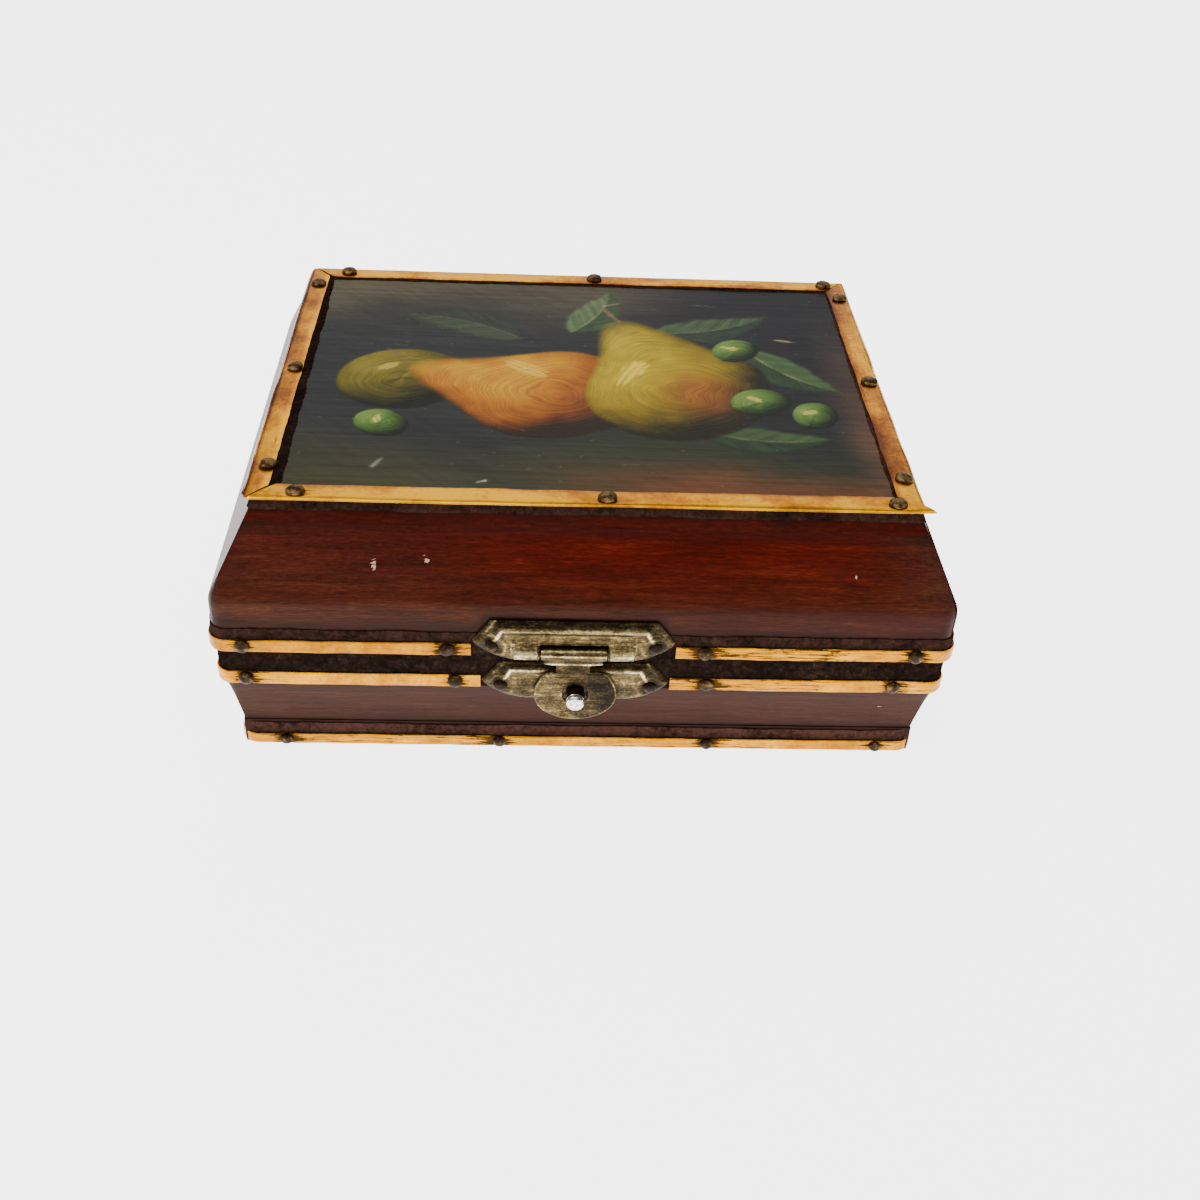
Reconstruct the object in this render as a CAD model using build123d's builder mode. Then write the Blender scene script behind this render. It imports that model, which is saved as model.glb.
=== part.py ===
from build123d import *
import os
from math import atan2, cos, degrees, pi, sin

os.makedirs("parts", exist_ok=True)

# Small wooden trinket box with a hipped lid, in millimetres.
# The lid turns on two hinges at the back, and a hasp on the front drops over a pin on the base.
# Frame: the origin is on the table under the middle of the box, +Z is up and the latch faces -Y.

# Lid: a short upright skirt, then a roof that slopes in to a flat top
lid_width = 145.0
lid_depth = 117.5
lid_corner_radius = 3.0
skirt_height = 11.2
roof_rise = 17.9
roof_inset = 9.3
roof_corner_radius = 2.0
lid_board_thickness = 5.0
top_board_thickness = 4.0
knee_half = 0.9
corner_steps = 3

# Base: a shallow tray with a raised rim, a leaning wall and a foot
base_height = 26.8
parting_gap = 0.4
rim_setback = 0.75
rim_height = 8.2
wall_top_setback = 1.3
wall_foot_setback = 3.8
foot_setback = 3.6
foot_height = 6.1
base_corner_radius = 2.6
tray_wall = 4.6
floor_thickness = 4.0
lining_thickness = 0.8
lining_gap = 0.3

# Binding tape, brass straps and the picture on the lid
tape_thickness = 0.5
foot_lift = 0.2
lid_tape_height = 6.1
top_tape_drop = 1.8
strap_thickness = 0.35
lid_strap_height = 3.1
base_strap_height = 3.2
foot_strap_height = 2.8
strap_end_gap = 0.3
top_strap_width = 5.2
top_strap_thickness = 0.45
top_strap_lip = 0.9
top_strap_roll = 0.9
top_strap_slack = 0.05
mitre_gap = 0.24
tape_show = 1.8
picture_thickness = 0.3

# Nails, with hammered heads and square cut shanks
shank_width = 0.9
shank_length = 3.4
head_sides = 8
crown_share = 0.3
crown_lean = 40
top_head = 3.8
rim_head = 3.1
foot_head = 2.7
fitting_head = 2.8
top_long_nails = (-0.86, 0.05, 0.915)
top_short_nails = (-0.77, 0.0, 0.81)
lid_front_nails = (-0.905, -0.368, 0.318, 0.888)
base_front_nails = (-0.915, -0.352, 0.336, 0.853)
foot_front_nails = (-0.867, -0.241, 0.377, 0.886)
back_nails = (-0.88, -0.24, 0.24, 0.88)
end_nails = (-0.84, 0.02, 0.84)

# Latch: a hasp plate on the lid, a catch plate with a pin on the base, and the swinging hasp
latch_x = -2.4
catch_shift = 0.6
plate_thickness = 0.6
hasp_plate_length = 39.4
hasp_plate_height = 9.4
hasp_plate_hang = 0.7
hasp_plate_swell = 0.75
catch_plate_length = 37.0
catch_plate_height = 9.0
catch_plate_drop = 1.6
catch_plate_swell = 0.4
plate_point = 3.5
plate_margin = 1.35
swell_end_margin = 5.0
swell_taper = 45
plate_nail_inset = 3.7
plate_nail_drop = 1.1
hasp_axis_rise = 2.0
wire_radius = 0.5
running_gap = 0.06
leaf_thickness = 0.7
latch_clearance = 0.3
knuckle_length = 12.8
channel_length = 5.6
channel_wall = 0.65
tab_width = 11.6
tab_length = 3.2
neck_width = 6.7
neck_length = 1.9
disc_width = 16.3
disc_top_width = 12.4
disc_height = 12.1
disc_corner = 1.2
disc_bulge = 0.35
pin_radius = 1.95
pin_hole_gap = 0.55
pin_proud = 3.0
pin_below_neck = 5.7
pin_end_bevel = 0.8
pin_tail_width = 1.8
pin_tail_length = 3.0

# Rear hinges
hinge_spacing = 76.0
hinge_width = 20.0
hinge_thickness = 0.6
hinge_leaf_height = 7.2
hinge_knuckle_radius = 1.4
hinge_pin_radius = 0.6
hinge_pin_head_radius = 1.0
hinge_pin_head_length = 0.5
hinge_side_gap = 0.2
hinge_back_gap = 0.35
hinge_nail_pitch = 13.0

# Levels worked out from the sizes above
lid_bottom = base_height + parting_gap
skirt_top = lid_bottom + skirt_height
roof_top = skirt_top + roof_rise
side_board_top = roof_top - top_board_thickness
rim_bottom = base_height - rim_height
roof_slope = roof_inset / roof_rise
tape_run = tape_thickness / cos(atan2(roof_inset, roof_rise))
tape_top = roof_top + tape_thickness
tray_floor = floor_thickness + lining_thickness
up = Vector(0, 0, 1)

# The four sides of the box, each with the direction that it faces
sides = {
    "front": Vector(0, -1, 0),
    "back": Vector(0, 1, 0),
    "left": Vector(-1, 0, 0),
    "right": Vector(1, 0, 0),
}


def reach_and_run(width, depth, outward):
    """Half the size across a side's face and half the size along it."""
    if outward.Y:
        return depth / 2, width / 2
    return width / 2, depth / 2


def mitre_planes(width, depth, outward, gap=0.0):
    """The two upright planes at 45 degrees that part one side of a frame from its neighbours."""
    reach, run = reach_and_run(width, depth, outward)
    along = up.cross(outward)
    planes = []
    for hand in (1, -1):
        inward = (outward - along * hand).normalized()
        corner = outward * reach + along * run * hand
        planes.append(Plane(origin=corner + inward * gap / 2, z_dir=inward))
    return planes


def side_seats(outward, reach, run, height, shares):
    """Places for nails on an upright face, given as shares of half its length."""
    along = up.cross(outward)
    seats = []
    for share in shares:
        spot = outward * reach + along * (share * run) + up * height
        seats.append(Plane(origin=spot, x_dir=along, z_dir=outward).location)
    return seats


def ring_seats(width, depth, height, front_shares):
    """Nail places all round a band: the front has its own pattern, the ends are alike."""
    patterns = {"front": front_shares, "back": back_nails, "left": end_nails, "right": end_nails}
    seats = {}
    for side, outward in sides.items():
        reach, run = reach_and_run(width, depth, outward)
        seats[side] = side_seats(outward, reach, run, height, patterns[side])
    return seats


def all_of(seats):
    """One list with the places of every side."""
    return [seat for side in seats.values() for seat in side]


def roof_section(height):
    """Width, depth and corner radius of the sloping roof at a height above the table."""
    share = (height - skirt_top) / roof_rise
    inset = roof_inset * share
    radius = lid_corner_radius + (roof_corner_radius - lid_corner_radius) * share
    return lid_width - 2 * inset, lid_depth - 2 * inset, radius


def make_nail(head_diameter):
    """A nail that points down, with the underside of its hammered head at the origin."""
    with BuildPart() as nail:
        with BuildSketch(Plane.XY):
            RegularPolygon(head_diameter / 2, head_sides)
        extrude(amount=head_diameter * crown_share, taper=crown_lean)
        with BuildSketch(Plane.XY):
            Rectangle(shank_width, shank_width)
        extrude(amount=-shank_length)
    return nail.part


def drive(seats):
    """Cut the square holes of nails out of the open part."""
    with Locations(*seats):
        Box(shank_width, shank_width, 2 * shank_length, mode=Mode.SUBTRACT)


def soft_rectangle(width, depth, radius, mode=Mode.ADD):
    """Sketch a rectangle whose corners are rounded off by hand, in a few flat strokes of the plane."""
    corners = []
    for quarter, (across, back) in enumerate(((1, 1), (-1, 1), (-1, -1), (1, -1))):
        for step in range(corner_steps + 1):
            angle = (quarter + step / corner_steps) * pi / 2
            x = across * (width / 2 - radius) + radius * cos(angle)
            y = back * (depth / 2 - radius) + radius * sin(angle)
            corners.append((x, y))
    Polygon(*corners, align=None, mode=mode)


def band_section(width, depth, radius, thickness):
    """Sketch the plan of a band that lies round a rectangle with soft corners."""
    soft_rectangle(width + 2 * thickness, depth + 2 * thickness, radius + thickness)
    soft_rectangle(width, depth, radius, mode=Mode.SUBTRACT)


# Sizes of the layers, from the wood outwards
base_rim_width = lid_width - 2 * rim_setback
base_rim_depth = lid_depth - 2 * rim_setback
foot_width = lid_width - 2 * foot_setback
foot_depth = lid_depth - 2 * foot_setback
tray_width = foot_width - 2 * tray_wall
tray_depth = foot_depth - 2 * tray_wall
proud = tape_thickness + strap_thickness
taped_front = lid_depth / 2 + tape_thickness
taped_base_front = base_rim_depth / 2 + tape_thickness
roof_top_width, roof_top_depth, roof_top_radius = roof_section(roof_top)
top_strap_overhang = (
    tape_run + (top_strap_lip - tape_thickness) * roof_slope + top_strap_slack + top_strap_thickness
)
top_frame_width = roof_top_width + 2 * top_strap_overhang
top_frame_depth = roof_top_depth + 2 * top_strap_overhang
window_width = top_frame_width - 2 * (top_strap_width + tape_show)
window_depth = top_frame_depth - 2 * (top_strap_width + tape_show)

# Nail places on the straps
lid_rim_seats = ring_seats(
    lid_width + 2 * proud, lid_depth + 2 * proud, lid_bottom + lid_strap_height / 2, lid_front_nails
)
base_rim_seats = ring_seats(
    base_rim_width + 2 * proud,
    base_rim_depth + 2 * proud,
    rim_bottom + base_strap_height / 2,
    base_front_nails,
)
foot_seats = ring_seats(
    foot_width + 2 * proud, foot_depth + 2 * proud, foot_lift + foot_strap_height / 2, foot_front_nails
)
top_seats = {}
for side, outward in sides.items():
    reach, run = reach_and_run(top_frame_width, top_frame_depth, outward)
    shares = top_long_nails if outward.Y else top_short_nails
    hand = -1 if side in ("back", "left") else 1
    along = up.cross(outward) * hand
    middle = outward * (reach - top_strap_width / 2) + up * (tape_top + top_strap_thickness)
    top_seats[side] = [Location(middle + along * share * run) for share in shares]

# Nail places on the latch plates and the hinges
front = Plane(origin=(latch_x, 0, 0), x_dir=(1, 0, 0), z_dir=(0, -1, 0))
catch_front = Plane(origin=(latch_x + catch_shift, 0, 0), x_dir=(1, 0, 0), z_dir=(0, -1, 0))
hasp_plate_middle = lid_bottom - hasp_plate_hang + hasp_plate_height / 2
catch_plate_middle = base_height - catch_plate_drop - catch_plate_height / 2
hinge_axis_y = lid_depth / 2 + tape_thickness + hinge_back_gap + hinge_knuckle_radius
hinge_axis_z = base_height + parting_gap / 2
lid_leaf_bottom = hinge_axis_z + hinge_knuckle_radius - hinge_thickness / 3
base_leaf_top = hinge_axis_z - 2 * hinge_thickness


def plate_seats(plane, length, middle):
    """Places for the two nails of a latch plate, on the plane of its sheet's face."""
    spot = length / 2 - plate_nail_inset
    return [
        plane.shift_origin(plane.from_local_coords((hand * spot, middle - plate_nail_drop))).location
        for hand in (-1, 1)
    ]


def hinge_seats(face, height):
    """Places for the nails of one leaf of both hinges."""
    spots = [
        centre + hand * hinge_nail_pitch / 2
        for centre in (-hinge_spacing / 2, hinge_spacing / 2)
        for hand in (-1, 1)
    ]
    return [
        Plane(origin=(spot, face, height), x_dir=(-1, 0, 0), z_dir=(0, 1, 0)).location for spot in spots
    ]


hasp_plate_seats = plate_seats(
    front.offset(taped_front + plate_thickness), hasp_plate_length, hasp_plate_middle
)
catch_plate_seats = plate_seats(
    catch_front.offset(taped_base_front + plate_thickness), catch_plate_length, catch_plate_middle
)
lid_leaf_seats = hinge_seats(
    taped_front + hinge_thickness, lid_leaf_bottom + hinge_leaf_height / 2
)
base_leaf_seats = hinge_seats(
    taped_base_front + hinge_thickness, base_leaf_top - hinge_leaf_height / 2
)
front_fittings = {"front": hasp_plate_seats, "back": lid_leaf_seats, "left": [], "right": []}
base_fittings = {"front": catch_plate_seats, "back": base_leaf_seats, "left": [], "right": []}

# The hasp hangs from its wire, and its pin stands on the catch plate
hasp_axis_z = lid_bottom + hasp_axis_rise
hasp_knuckle_radius = wire_radius + running_gap + leaf_thickness
catch_face = taped_base_front + plate_thickness + catch_plate_swell
leaf_back = max(taped_front, catch_face) + latch_clearance
hasp_axis_out = leaf_back + hasp_knuckle_radius
disc_top = hasp_axis_z - tab_length - neck_length
pin_z = disc_top - pin_below_neck

# Base boards: foot, leaning wall and rim in one piece, mitred at the corners
for side, outward in sides.items():
    with BuildPart() as board:
        with BuildSketch(Plane.XY):
            soft_rectangle(foot_width, foot_depth, base_corner_radius)
        extrude(amount=foot_height)
        with BuildSketch(Plane.XY.offset(foot_height)):
            soft_rectangle(
                lid_width - 2 * wall_foot_setback, lid_depth - 2 * wall_foot_setback, base_corner_radius
            )
        with BuildSketch(Plane.XY.offset(rim_bottom)):
            soft_rectangle(
                lid_width - 2 * wall_top_setback, lid_depth - 2 * wall_top_setback, base_corner_radius
            )
        loft(ruled=True)
        with BuildSketch(Plane.XY.offset(rim_bottom)):
            soft_rectangle(base_rim_width, base_rim_depth, base_corner_radius)
        extrude(amount=rim_height)
        with BuildSketch(Plane.XY):
            Rectangle(tray_width, tray_depth)
        extrude(amount=base_height, mode=Mode.SUBTRACT)
        for plane in mitre_planes(lid_width, lid_depth, outward):
            split(bisect_by=plane, keep=Keep.TOP)
        drive(base_rim_seats[side] + foot_seats[side] + base_fittings[side])
        if side == "front":
            with BuildSketch(catch_front.offset(catch_face)):
                with Locations((0, pin_z)):
                    Rectangle(pin_tail_width, pin_tail_width)
            extrude(amount=-(catch_face - taped_base_front) - pin_tail_length, mode=Mode.SUBTRACT)
    board.part.label = f"base_{side}_board"
    export_step(board.part, f"parts/{board.part.label}.step")

# Floor panel between the boards, flush with their feet, and the felt on it
with BuildPart() as base_floor_panel:
    with BuildSketch(Plane.XY):
        Rectangle(tray_width, tray_depth)
    extrude(amount=floor_thickness)
base_floor_panel.part.label = "base_floor_panel"
export_step(base_floor_panel.part, "parts/base_floor_panel.step")

with BuildPart() as base_floor_lining:
    with BuildSketch(Plane.XY.offset(floor_thickness)):
        Rectangle(tray_width - 2 * lining_gap, tray_depth - 2 * lining_gap)
    extrude(amount=lining_thickness)
base_floor_lining.part.label = "base_floor_lining"
export_step(base_floor_lining.part, "parts/base_floor_lining.step")

# Lid boards: skirt, softened knee and roof slope in one piece, mitred at the corners
for side, outward in sides.items():
    side_width, side_depth, side_radius = roof_section(side_board_top)
    with BuildPart() as board:
        with BuildSketch(Plane.XY.offset(lid_bottom)):
            soft_rectangle(lid_width, lid_depth, lid_corner_radius)
        extrude(amount=skirt_height - knee_half)
        with BuildSketch(Plane.XY.offset(skirt_top - knee_half)):
            soft_rectangle(lid_width, lid_depth, lid_corner_radius)
        with BuildSketch(Plane.XY.offset(skirt_top + knee_half)):
            soft_rectangle(*roof_section(skirt_top + knee_half))
        with BuildSketch(Plane.XY.offset(side_board_top)):
            soft_rectangle(side_width, side_depth, side_radius)
        loft(ruled=True)
        with BuildSketch(Plane.XY.offset(lid_bottom)):
            Rectangle(lid_width - 2 * lid_board_thickness, lid_depth - 2 * lid_board_thickness)
        extrude(amount=skirt_height, mode=Mode.SUBTRACT)
        with BuildSketch(Plane.XY.offset(skirt_top)):
            Rectangle(lid_width - 2 * lid_board_thickness, lid_depth - 2 * lid_board_thickness)
        with BuildSketch(Plane.XY.offset(side_board_top)):
            Rectangle(side_width - 2 * lid_board_thickness, side_depth - 2 * lid_board_thickness)
        loft(ruled=True, mode=Mode.SUBTRACT)
        for plane in mitre_planes(lid_width, lid_depth, outward):
            split(bisect_by=plane, keep=Keep.TOP)
        drive(lid_rim_seats[side] + front_fittings[side])
    board.part.label = f"lid_{side}_board"
    export_step(board.part, f"parts/{board.part.label}.step")

# Flat top board, whose edges carry the slope on
with BuildPart() as lid_top_board:
    with BuildSketch(Plane.XY.offset(side_board_top)):
        soft_rectangle(*roof_section(side_board_top))
    with BuildSketch(Plane.XY.offset(roof_top)):
        soft_rectangle(*roof_section(roof_top))
    loft(ruled=True)
    drive(all_of(top_seats))
lid_top_board.part.label = "lid_top_board"
export_step(lid_top_board.part, "parts/lid_top_board.step")

with BuildPart() as lid_picture_panel:
    with BuildSketch(Plane.XY.offset(roof_top)):
        Rectangle(window_width, window_depth)
    extrude(amount=picture_thickness)
lid_picture_panel.part.label = "lid_picture_panel"
export_step(lid_picture_panel.part, "parts/lid_picture_panel.step")

# Tape folded over the edge of the top: one leg on the top board and one down the slope
tape_foot = roof_top - top_tape_drop
with BuildPart() as lid_top_tape:
    for height in (tape_foot, tape_top):
        section_width, section_depth, section_radius = roof_section(height)
        with BuildSketch(Plane.XY.offset(height)):
            soft_rectangle(
                section_width + 2 * tape_run, section_depth + 2 * tape_run, section_radius + tape_run
            )
    loft(ruled=True)
    with BuildSketch(Plane.XY.offset(tape_foot)):
        soft_rectangle(*roof_section(tape_foot))
    with BuildSketch(Plane.XY.offset(roof_top)):
        soft_rectangle(*roof_section(roof_top))
    loft(ruled=True, mode=Mode.SUBTRACT)
    with BuildSketch(Plane.XY.offset(roof_top)):
        Rectangle(window_width, window_depth)
    extrude(amount=tape_thickness, mode=Mode.SUBTRACT)
    drive(all_of(top_seats))
lid_top_tape.part.label = "lid_top_tape"
export_step(lid_top_tape.part, "parts/lid_top_tape.step")

# Top straps: thin brass with its outer edge rolled down over the tape, mitred at the corners
for side, outward in sides.items():
    edge, run = reach_and_run(top_frame_width, top_frame_depth, outward)
    top = tape_top + top_strap_thickness
    arc_centre = top - top_strap_roll
    inner_roll = top_strap_roll - top_strap_thickness
    with BuildPart() as strap:
        with BuildSketch(Plane(origin=(0, 0, 0), x_dir=outward, z_dir=outward.cross(up))):
            with BuildLine():
                Polyline(
                    (edge - top_strap_roll, tape_top),
                    (edge - top_strap_width, tape_top),
                    (edge - top_strap_width, top),
                    (edge - top_strap_roll, top),
                )
                RadiusArc((edge - top_strap_roll, top), (edge, arc_centre), top_strap_roll)
                Polyline(
                    (edge, arc_centre),
                    (edge, tape_top - top_strap_lip),
                    (edge - top_strap_thickness, tape_top - top_strap_lip),
                    (edge - top_strap_thickness, arc_centre),
                )
                RadiusArc(
                    (edge - top_strap_thickness, arc_centre), (edge - top_strap_roll, tape_top), -inner_roll
                )
            make_face()
        extrude(amount=run, both=True)
        for plane in mitre_planes(top_frame_width, top_frame_depth, outward, mitre_gap):
            split(bisect_by=plane, keep=Keep.TOP)
        drive(top_seats[side])
    strap.part.label = f"lid_top_strap_{side}"
    export_step(strap.part, f"parts/{strap.part.label}.step")

# Tape round the lid's rim, the base's rim and the foot
with BuildPart() as lid_rim_tape:
    with BuildSketch(Plane.XY.offset(lid_bottom)):
        band_section(lid_width, lid_depth, lid_corner_radius, tape_thickness)
    extrude(amount=lid_tape_height)
    drive(all_of(lid_rim_seats) + hasp_plate_seats + lid_leaf_seats)
lid_rim_tape.part.label = "lid_rim_tape"
export_step(lid_rim_tape.part, "parts/lid_rim_tape.step")

with BuildPart() as base_rim_tape:
    with BuildSketch(Plane.XY.offset(rim_bottom)):
        band_section(base_rim_width, base_rim_depth, base_corner_radius, tape_thickness)
    extrude(amount=rim_height)
    drive(all_of(base_rim_seats) + catch_plate_seats + base_leaf_seats)
    with BuildSketch(catch_front.offset(catch_face)):
        with Locations((0, pin_z)):
            Rectangle(pin_tail_width, pin_tail_width)
    extrude(amount=-(catch_face - taped_base_front) - pin_tail_length, mode=Mode.SUBTRACT)
base_rim_tape.part.label = "base_rim_tape"
export_step(base_rim_tape.part, "parts/base_rim_tape.step")

with BuildPart() as base_foot_tape:
    with BuildSketch(Plane.XY.offset(foot_lift)):
        band_section(foot_width, foot_depth, base_corner_radius, tape_thickness)
    extrude(amount=foot_height - foot_lift)
    drive(all_of(foot_seats))
base_foot_tape.part.label = "base_foot_tape"
export_step(base_foot_tape.part, "parts/base_foot_tape.step")


def rim_strap(width, depth, radius, low, height, plate_middle, plate_length, seats, name):
    """Brass round a rim in three lengths, which stop at the latch and at the hinges."""
    latch_gap = plate_length + 2 * strap_end_gap
    hinge_gap = hinge_width + 2 * strap_end_gap
    with BuildPart() as strap:
        with BuildSketch(Plane.XY.offset(low)):
            band_section(
                width + 2 * tape_thickness, depth + 2 * tape_thickness, radius + tape_thickness, strap_thickness
            )
        extrude(amount=height)
        with BuildSketch(Plane.XY.offset(low)):
            with Locations((plate_middle, -depth / 2)):
                Rectangle(latch_gap, 4 * proud)
            with Locations((-hinge_spacing / 2, depth / 2), (hinge_spacing / 2, depth / 2)):
                Rectangle(hinge_gap, 4 * proud)
        extrude(amount=height, mode=Mode.SUBTRACT)
        drive(all_of(seats))
    lengths = strap.solids().sort_by(Axis.X)
    for place, length in zip(("left", "back", "right"), lengths):
        with BuildPart() as piece:
            add(length)
        piece.part.label = f"{name}_{place}"
        export_step(piece.part, f"parts/{piece.part.label}.step")


rim_strap(
    lid_width,
    lid_depth,
    lid_corner_radius,
    lid_bottom,
    lid_strap_height,
    latch_x,
    hasp_plate_length,
    lid_rim_seats,
    "lid_rim_strap",
)
rim_strap(
    base_rim_width,
    base_rim_depth,
    base_corner_radius,
    rim_bottom,
    base_strap_height,
    latch_x + catch_shift,
    catch_plate_length,
    base_rim_seats,
    "base_rim_strap",
)

with BuildPart() as base_foot_strap:
    with BuildSketch(Plane.XY.offset(foot_lift)):
        band_section(
            foot_width + 2 * tape_thickness,
            foot_depth + 2 * tape_thickness,
            base_corner_radius + tape_thickness,
            strap_thickness,
        )
    extrude(amount=foot_strap_height)
    drive(all_of(foot_seats))
base_foot_strap.part.label = "base_foot_strap"
export_step(base_foot_strap.part, "parts/base_foot_strap.step")

# Nails, one group for each band, plate pair or set of leaves
nail_groups = {
    "lid_top_nails": (top_head, all_of(top_seats)),
    "lid_rim_nails": (rim_head, all_of(lid_rim_seats)),
    "base_rim_nails": (rim_head, all_of(base_rim_seats)),
    "base_foot_nails": (foot_head, all_of(foot_seats)),
    "latch_hasp_plate_nails": (fitting_head, hasp_plate_seats),
    "latch_catch_plate_nails": (fitting_head, catch_plate_seats),
    "hinge_lid_leaf_nails": (fitting_head, lid_leaf_seats),
    "hinge_base_leaf_nails": (fitting_head, base_leaf_seats),
}
for name, (head, seats) in nail_groups.items():
    nail = make_nail(head)
    with BuildPart() as nails:
        with Locations(*seats):
            add(nail)
    nails.part.label = name
    export_step(nails.part, f"parts/{name}.step")


def plate_outline(length, height, margin=0.0, end_margin=0.0):
    """Sketch a stamped latch plate: a long shape that comes to a point at each end."""
    tip = length / 2 - end_margin
    shoulder = tip - plate_point
    half = height / 2 - margin
    corners = [(-tip, 0), (-shoulder, -half), (shoulder, -half), (tip, 0), (shoulder, half), (-shoulder, half)]
    Polygon(*corners, align=None)


# Hasp plate: a pointed sheet with a raised field, open below where the hasp's knuckle turns,
# and a rounded channel at each side of the opening that holds the wire
notch_width = knuckle_length + 2 * latch_clearance
notch_top = hasp_axis_z + hasp_knuckle_radius + latch_clearance
channel_radius = wire_radius + channel_wall
with BuildPart() as latch_hasp_plate:
    with BuildSketch(front.offset(taped_front)):
        with Locations((0, hasp_plate_middle)):
            plate_outline(hasp_plate_length, hasp_plate_height)
    extrude(amount=plate_thickness)
    with BuildSketch(front.offset(taped_front + plate_thickness)):
        with Locations((0, hasp_plate_middle)):
            plate_outline(hasp_plate_length, hasp_plate_height, plate_margin, swell_end_margin)
    extrude(amount=hasp_plate_swell, taper=swell_taper)
    with BuildSketch(front.offset(taped_front)):
        with Locations((0, (notch_top + lid_bottom - hasp_plate_hang) / 2)):
            Rectangle(notch_width, notch_top - lid_bottom + hasp_plate_hang)
    extrude(amount=plate_thickness + hasp_plate_swell, mode=Mode.SUBTRACT)
    for hand in (-1, 1):
        channel_x = latch_x + hand * (notch_width + channel_length) / 2
        with BuildSketch(Plane.YZ.offset(channel_x)):
            with Locations((-hasp_axis_out, hasp_axis_z)):
                Circle(channel_radius)
            with Locations((-(taped_front + hasp_axis_out) / 2, hasp_axis_z)):
                Rectangle(hasp_axis_out - taped_front, 2 * channel_radius)
        extrude(amount=channel_length / 2, both=True)
    with BuildSketch(Plane.YZ.offset(latch_x)):
        with Locations((-hasp_axis_out, hasp_axis_z)):
            Circle(wire_radius)
    extrude(amount=notch_width / 2 + channel_length, both=True, mode=Mode.SUBTRACT)
    drive(hasp_plate_seats)
latch_hasp_plate.part.label = "latch_hasp_plate"
export_step(latch_hasp_plate.part, "parts/latch_hasp_plate.step")

with BuildPart() as latch_hinge_wire:
    with BuildSketch(Plane.YZ.offset(latch_x)):
        with Locations((-hasp_axis_out, hasp_axis_z)):
            Circle(wire_radius)
    extrude(amount=notch_width / 2 + channel_length, both=True)
latch_hinge_wire.part.label = "latch_hinge_wire"
export_step(latch_hinge_wire.part, "parts/latch_hinge_wire.step")

# Catch plate on the base, with a lower field that the hasp lies over
with BuildPart() as latch_catch_plate:
    with BuildSketch(catch_front.offset(taped_base_front)):
        with Locations((0, catch_plate_middle)):
            plate_outline(catch_plate_length, catch_plate_height)
    extrude(amount=plate_thickness)
    with BuildSketch(catch_front.offset(taped_base_front + plate_thickness)):
        with Locations((0, catch_plate_middle)):
            plate_outline(catch_plate_length, catch_plate_height, plate_margin, swell_end_margin)
    extrude(amount=catch_plate_swell, taper=swell_taper)
    with BuildSketch(catch_front.offset(taped_base_front)):
        with Locations((0, pin_z)):
            Rectangle(pin_tail_width, pin_tail_width)
    extrude(amount=plate_thickness + catch_plate_swell, mode=Mode.SUBTRACT)
    drive(catch_plate_seats)
latch_catch_plate.part.label = "latch_catch_plate"
export_step(latch_catch_plate.part, "parts/latch_catch_plate.step")

# Pin with a bevelled end and a square tail that goes through the plate into the board
pin_length = leaf_back + leaf_thickness + pin_proud - catch_face
with BuildPart() as latch_catch_pin:
    with BuildSketch(catch_front.offset(catch_face)):
        with Locations((0, pin_z)):
            Circle(pin_radius)
    extrude(amount=pin_length)
    chamfer(latch_catch_pin.edges().sort_by(Axis.Y)[0], length=pin_end_bevel)
    with BuildSketch(catch_front.offset(catch_face)):
        with Locations((0, pin_z)):
            Rectangle(pin_tail_width, pin_tail_width)
    extrude(amount=-(catch_face - taped_base_front) - pin_tail_length)
latch_catch_pin.part.label = "latch_catch_pin"
export_step(latch_catch_pin.part, "parts/latch_catch_pin.step")

# Hasp: a knuckle curled round the wire, then a tab, a neck and a disc with a hole for the pin
disc_middle = disc_top - disc_height / 2
half_disc = disc_width / 2
half_top = disc_top_width / 2
with BuildPart() as latch_hasp:
    with BuildSketch(front.offset(leaf_back)) as leaf:
        with BuildLine():
            EllipticalCenterArc((catch_shift, disc_middle), half_disc, disc_height / 2, 180, arc_size=180)
            ThreePointArc(
                (catch_shift + half_disc, disc_middle),
                (catch_shift + half_disc - disc_bulge, disc_middle + disc_height / 4),
                (catch_shift + half_top, disc_top),
            )
            Line((catch_shift + half_top, disc_top), (catch_shift - half_top, disc_top))
            ThreePointArc(
                (catch_shift - half_top, disc_top),
                (catch_shift - half_disc + disc_bulge, disc_middle + disc_height / 4),
                (catch_shift - half_disc, disc_middle),
            )
        make_face()
        fillet(leaf.vertices().group_by(Axis.Y)[-1], radius=disc_corner)
        with Locations((0, disc_top + neck_length / 2)):
            Rectangle(neck_width, neck_length)
        with Locations((0, hasp_axis_z - tab_length / 2)):
            Rectangle(tab_width, tab_length)
        with Locations((catch_shift, pin_z)):
            Circle(pin_radius + pin_hole_gap, mode=Mode.SUBTRACT)
    extrude(amount=leaf_thickness)
    with BuildSketch(Plane.YZ.offset(latch_x)):
        with Locations((-hasp_axis_out, hasp_axis_z)):
            Circle(hasp_knuckle_radius)
    extrude(amount=knuckle_length / 2, both=True)
    with BuildSketch(Plane.YZ.offset(latch_x)):
        with Locations((-hasp_axis_out, hasp_axis_z)):
            Circle(wire_radius + running_gap)
    extrude(amount=knuckle_length / 2, both=True, mode=Mode.SUBTRACT)
latch_hasp.part.label = "latch_hasp"
export_step(latch_hasp.part, "parts/latch_hasp.step")

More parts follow.
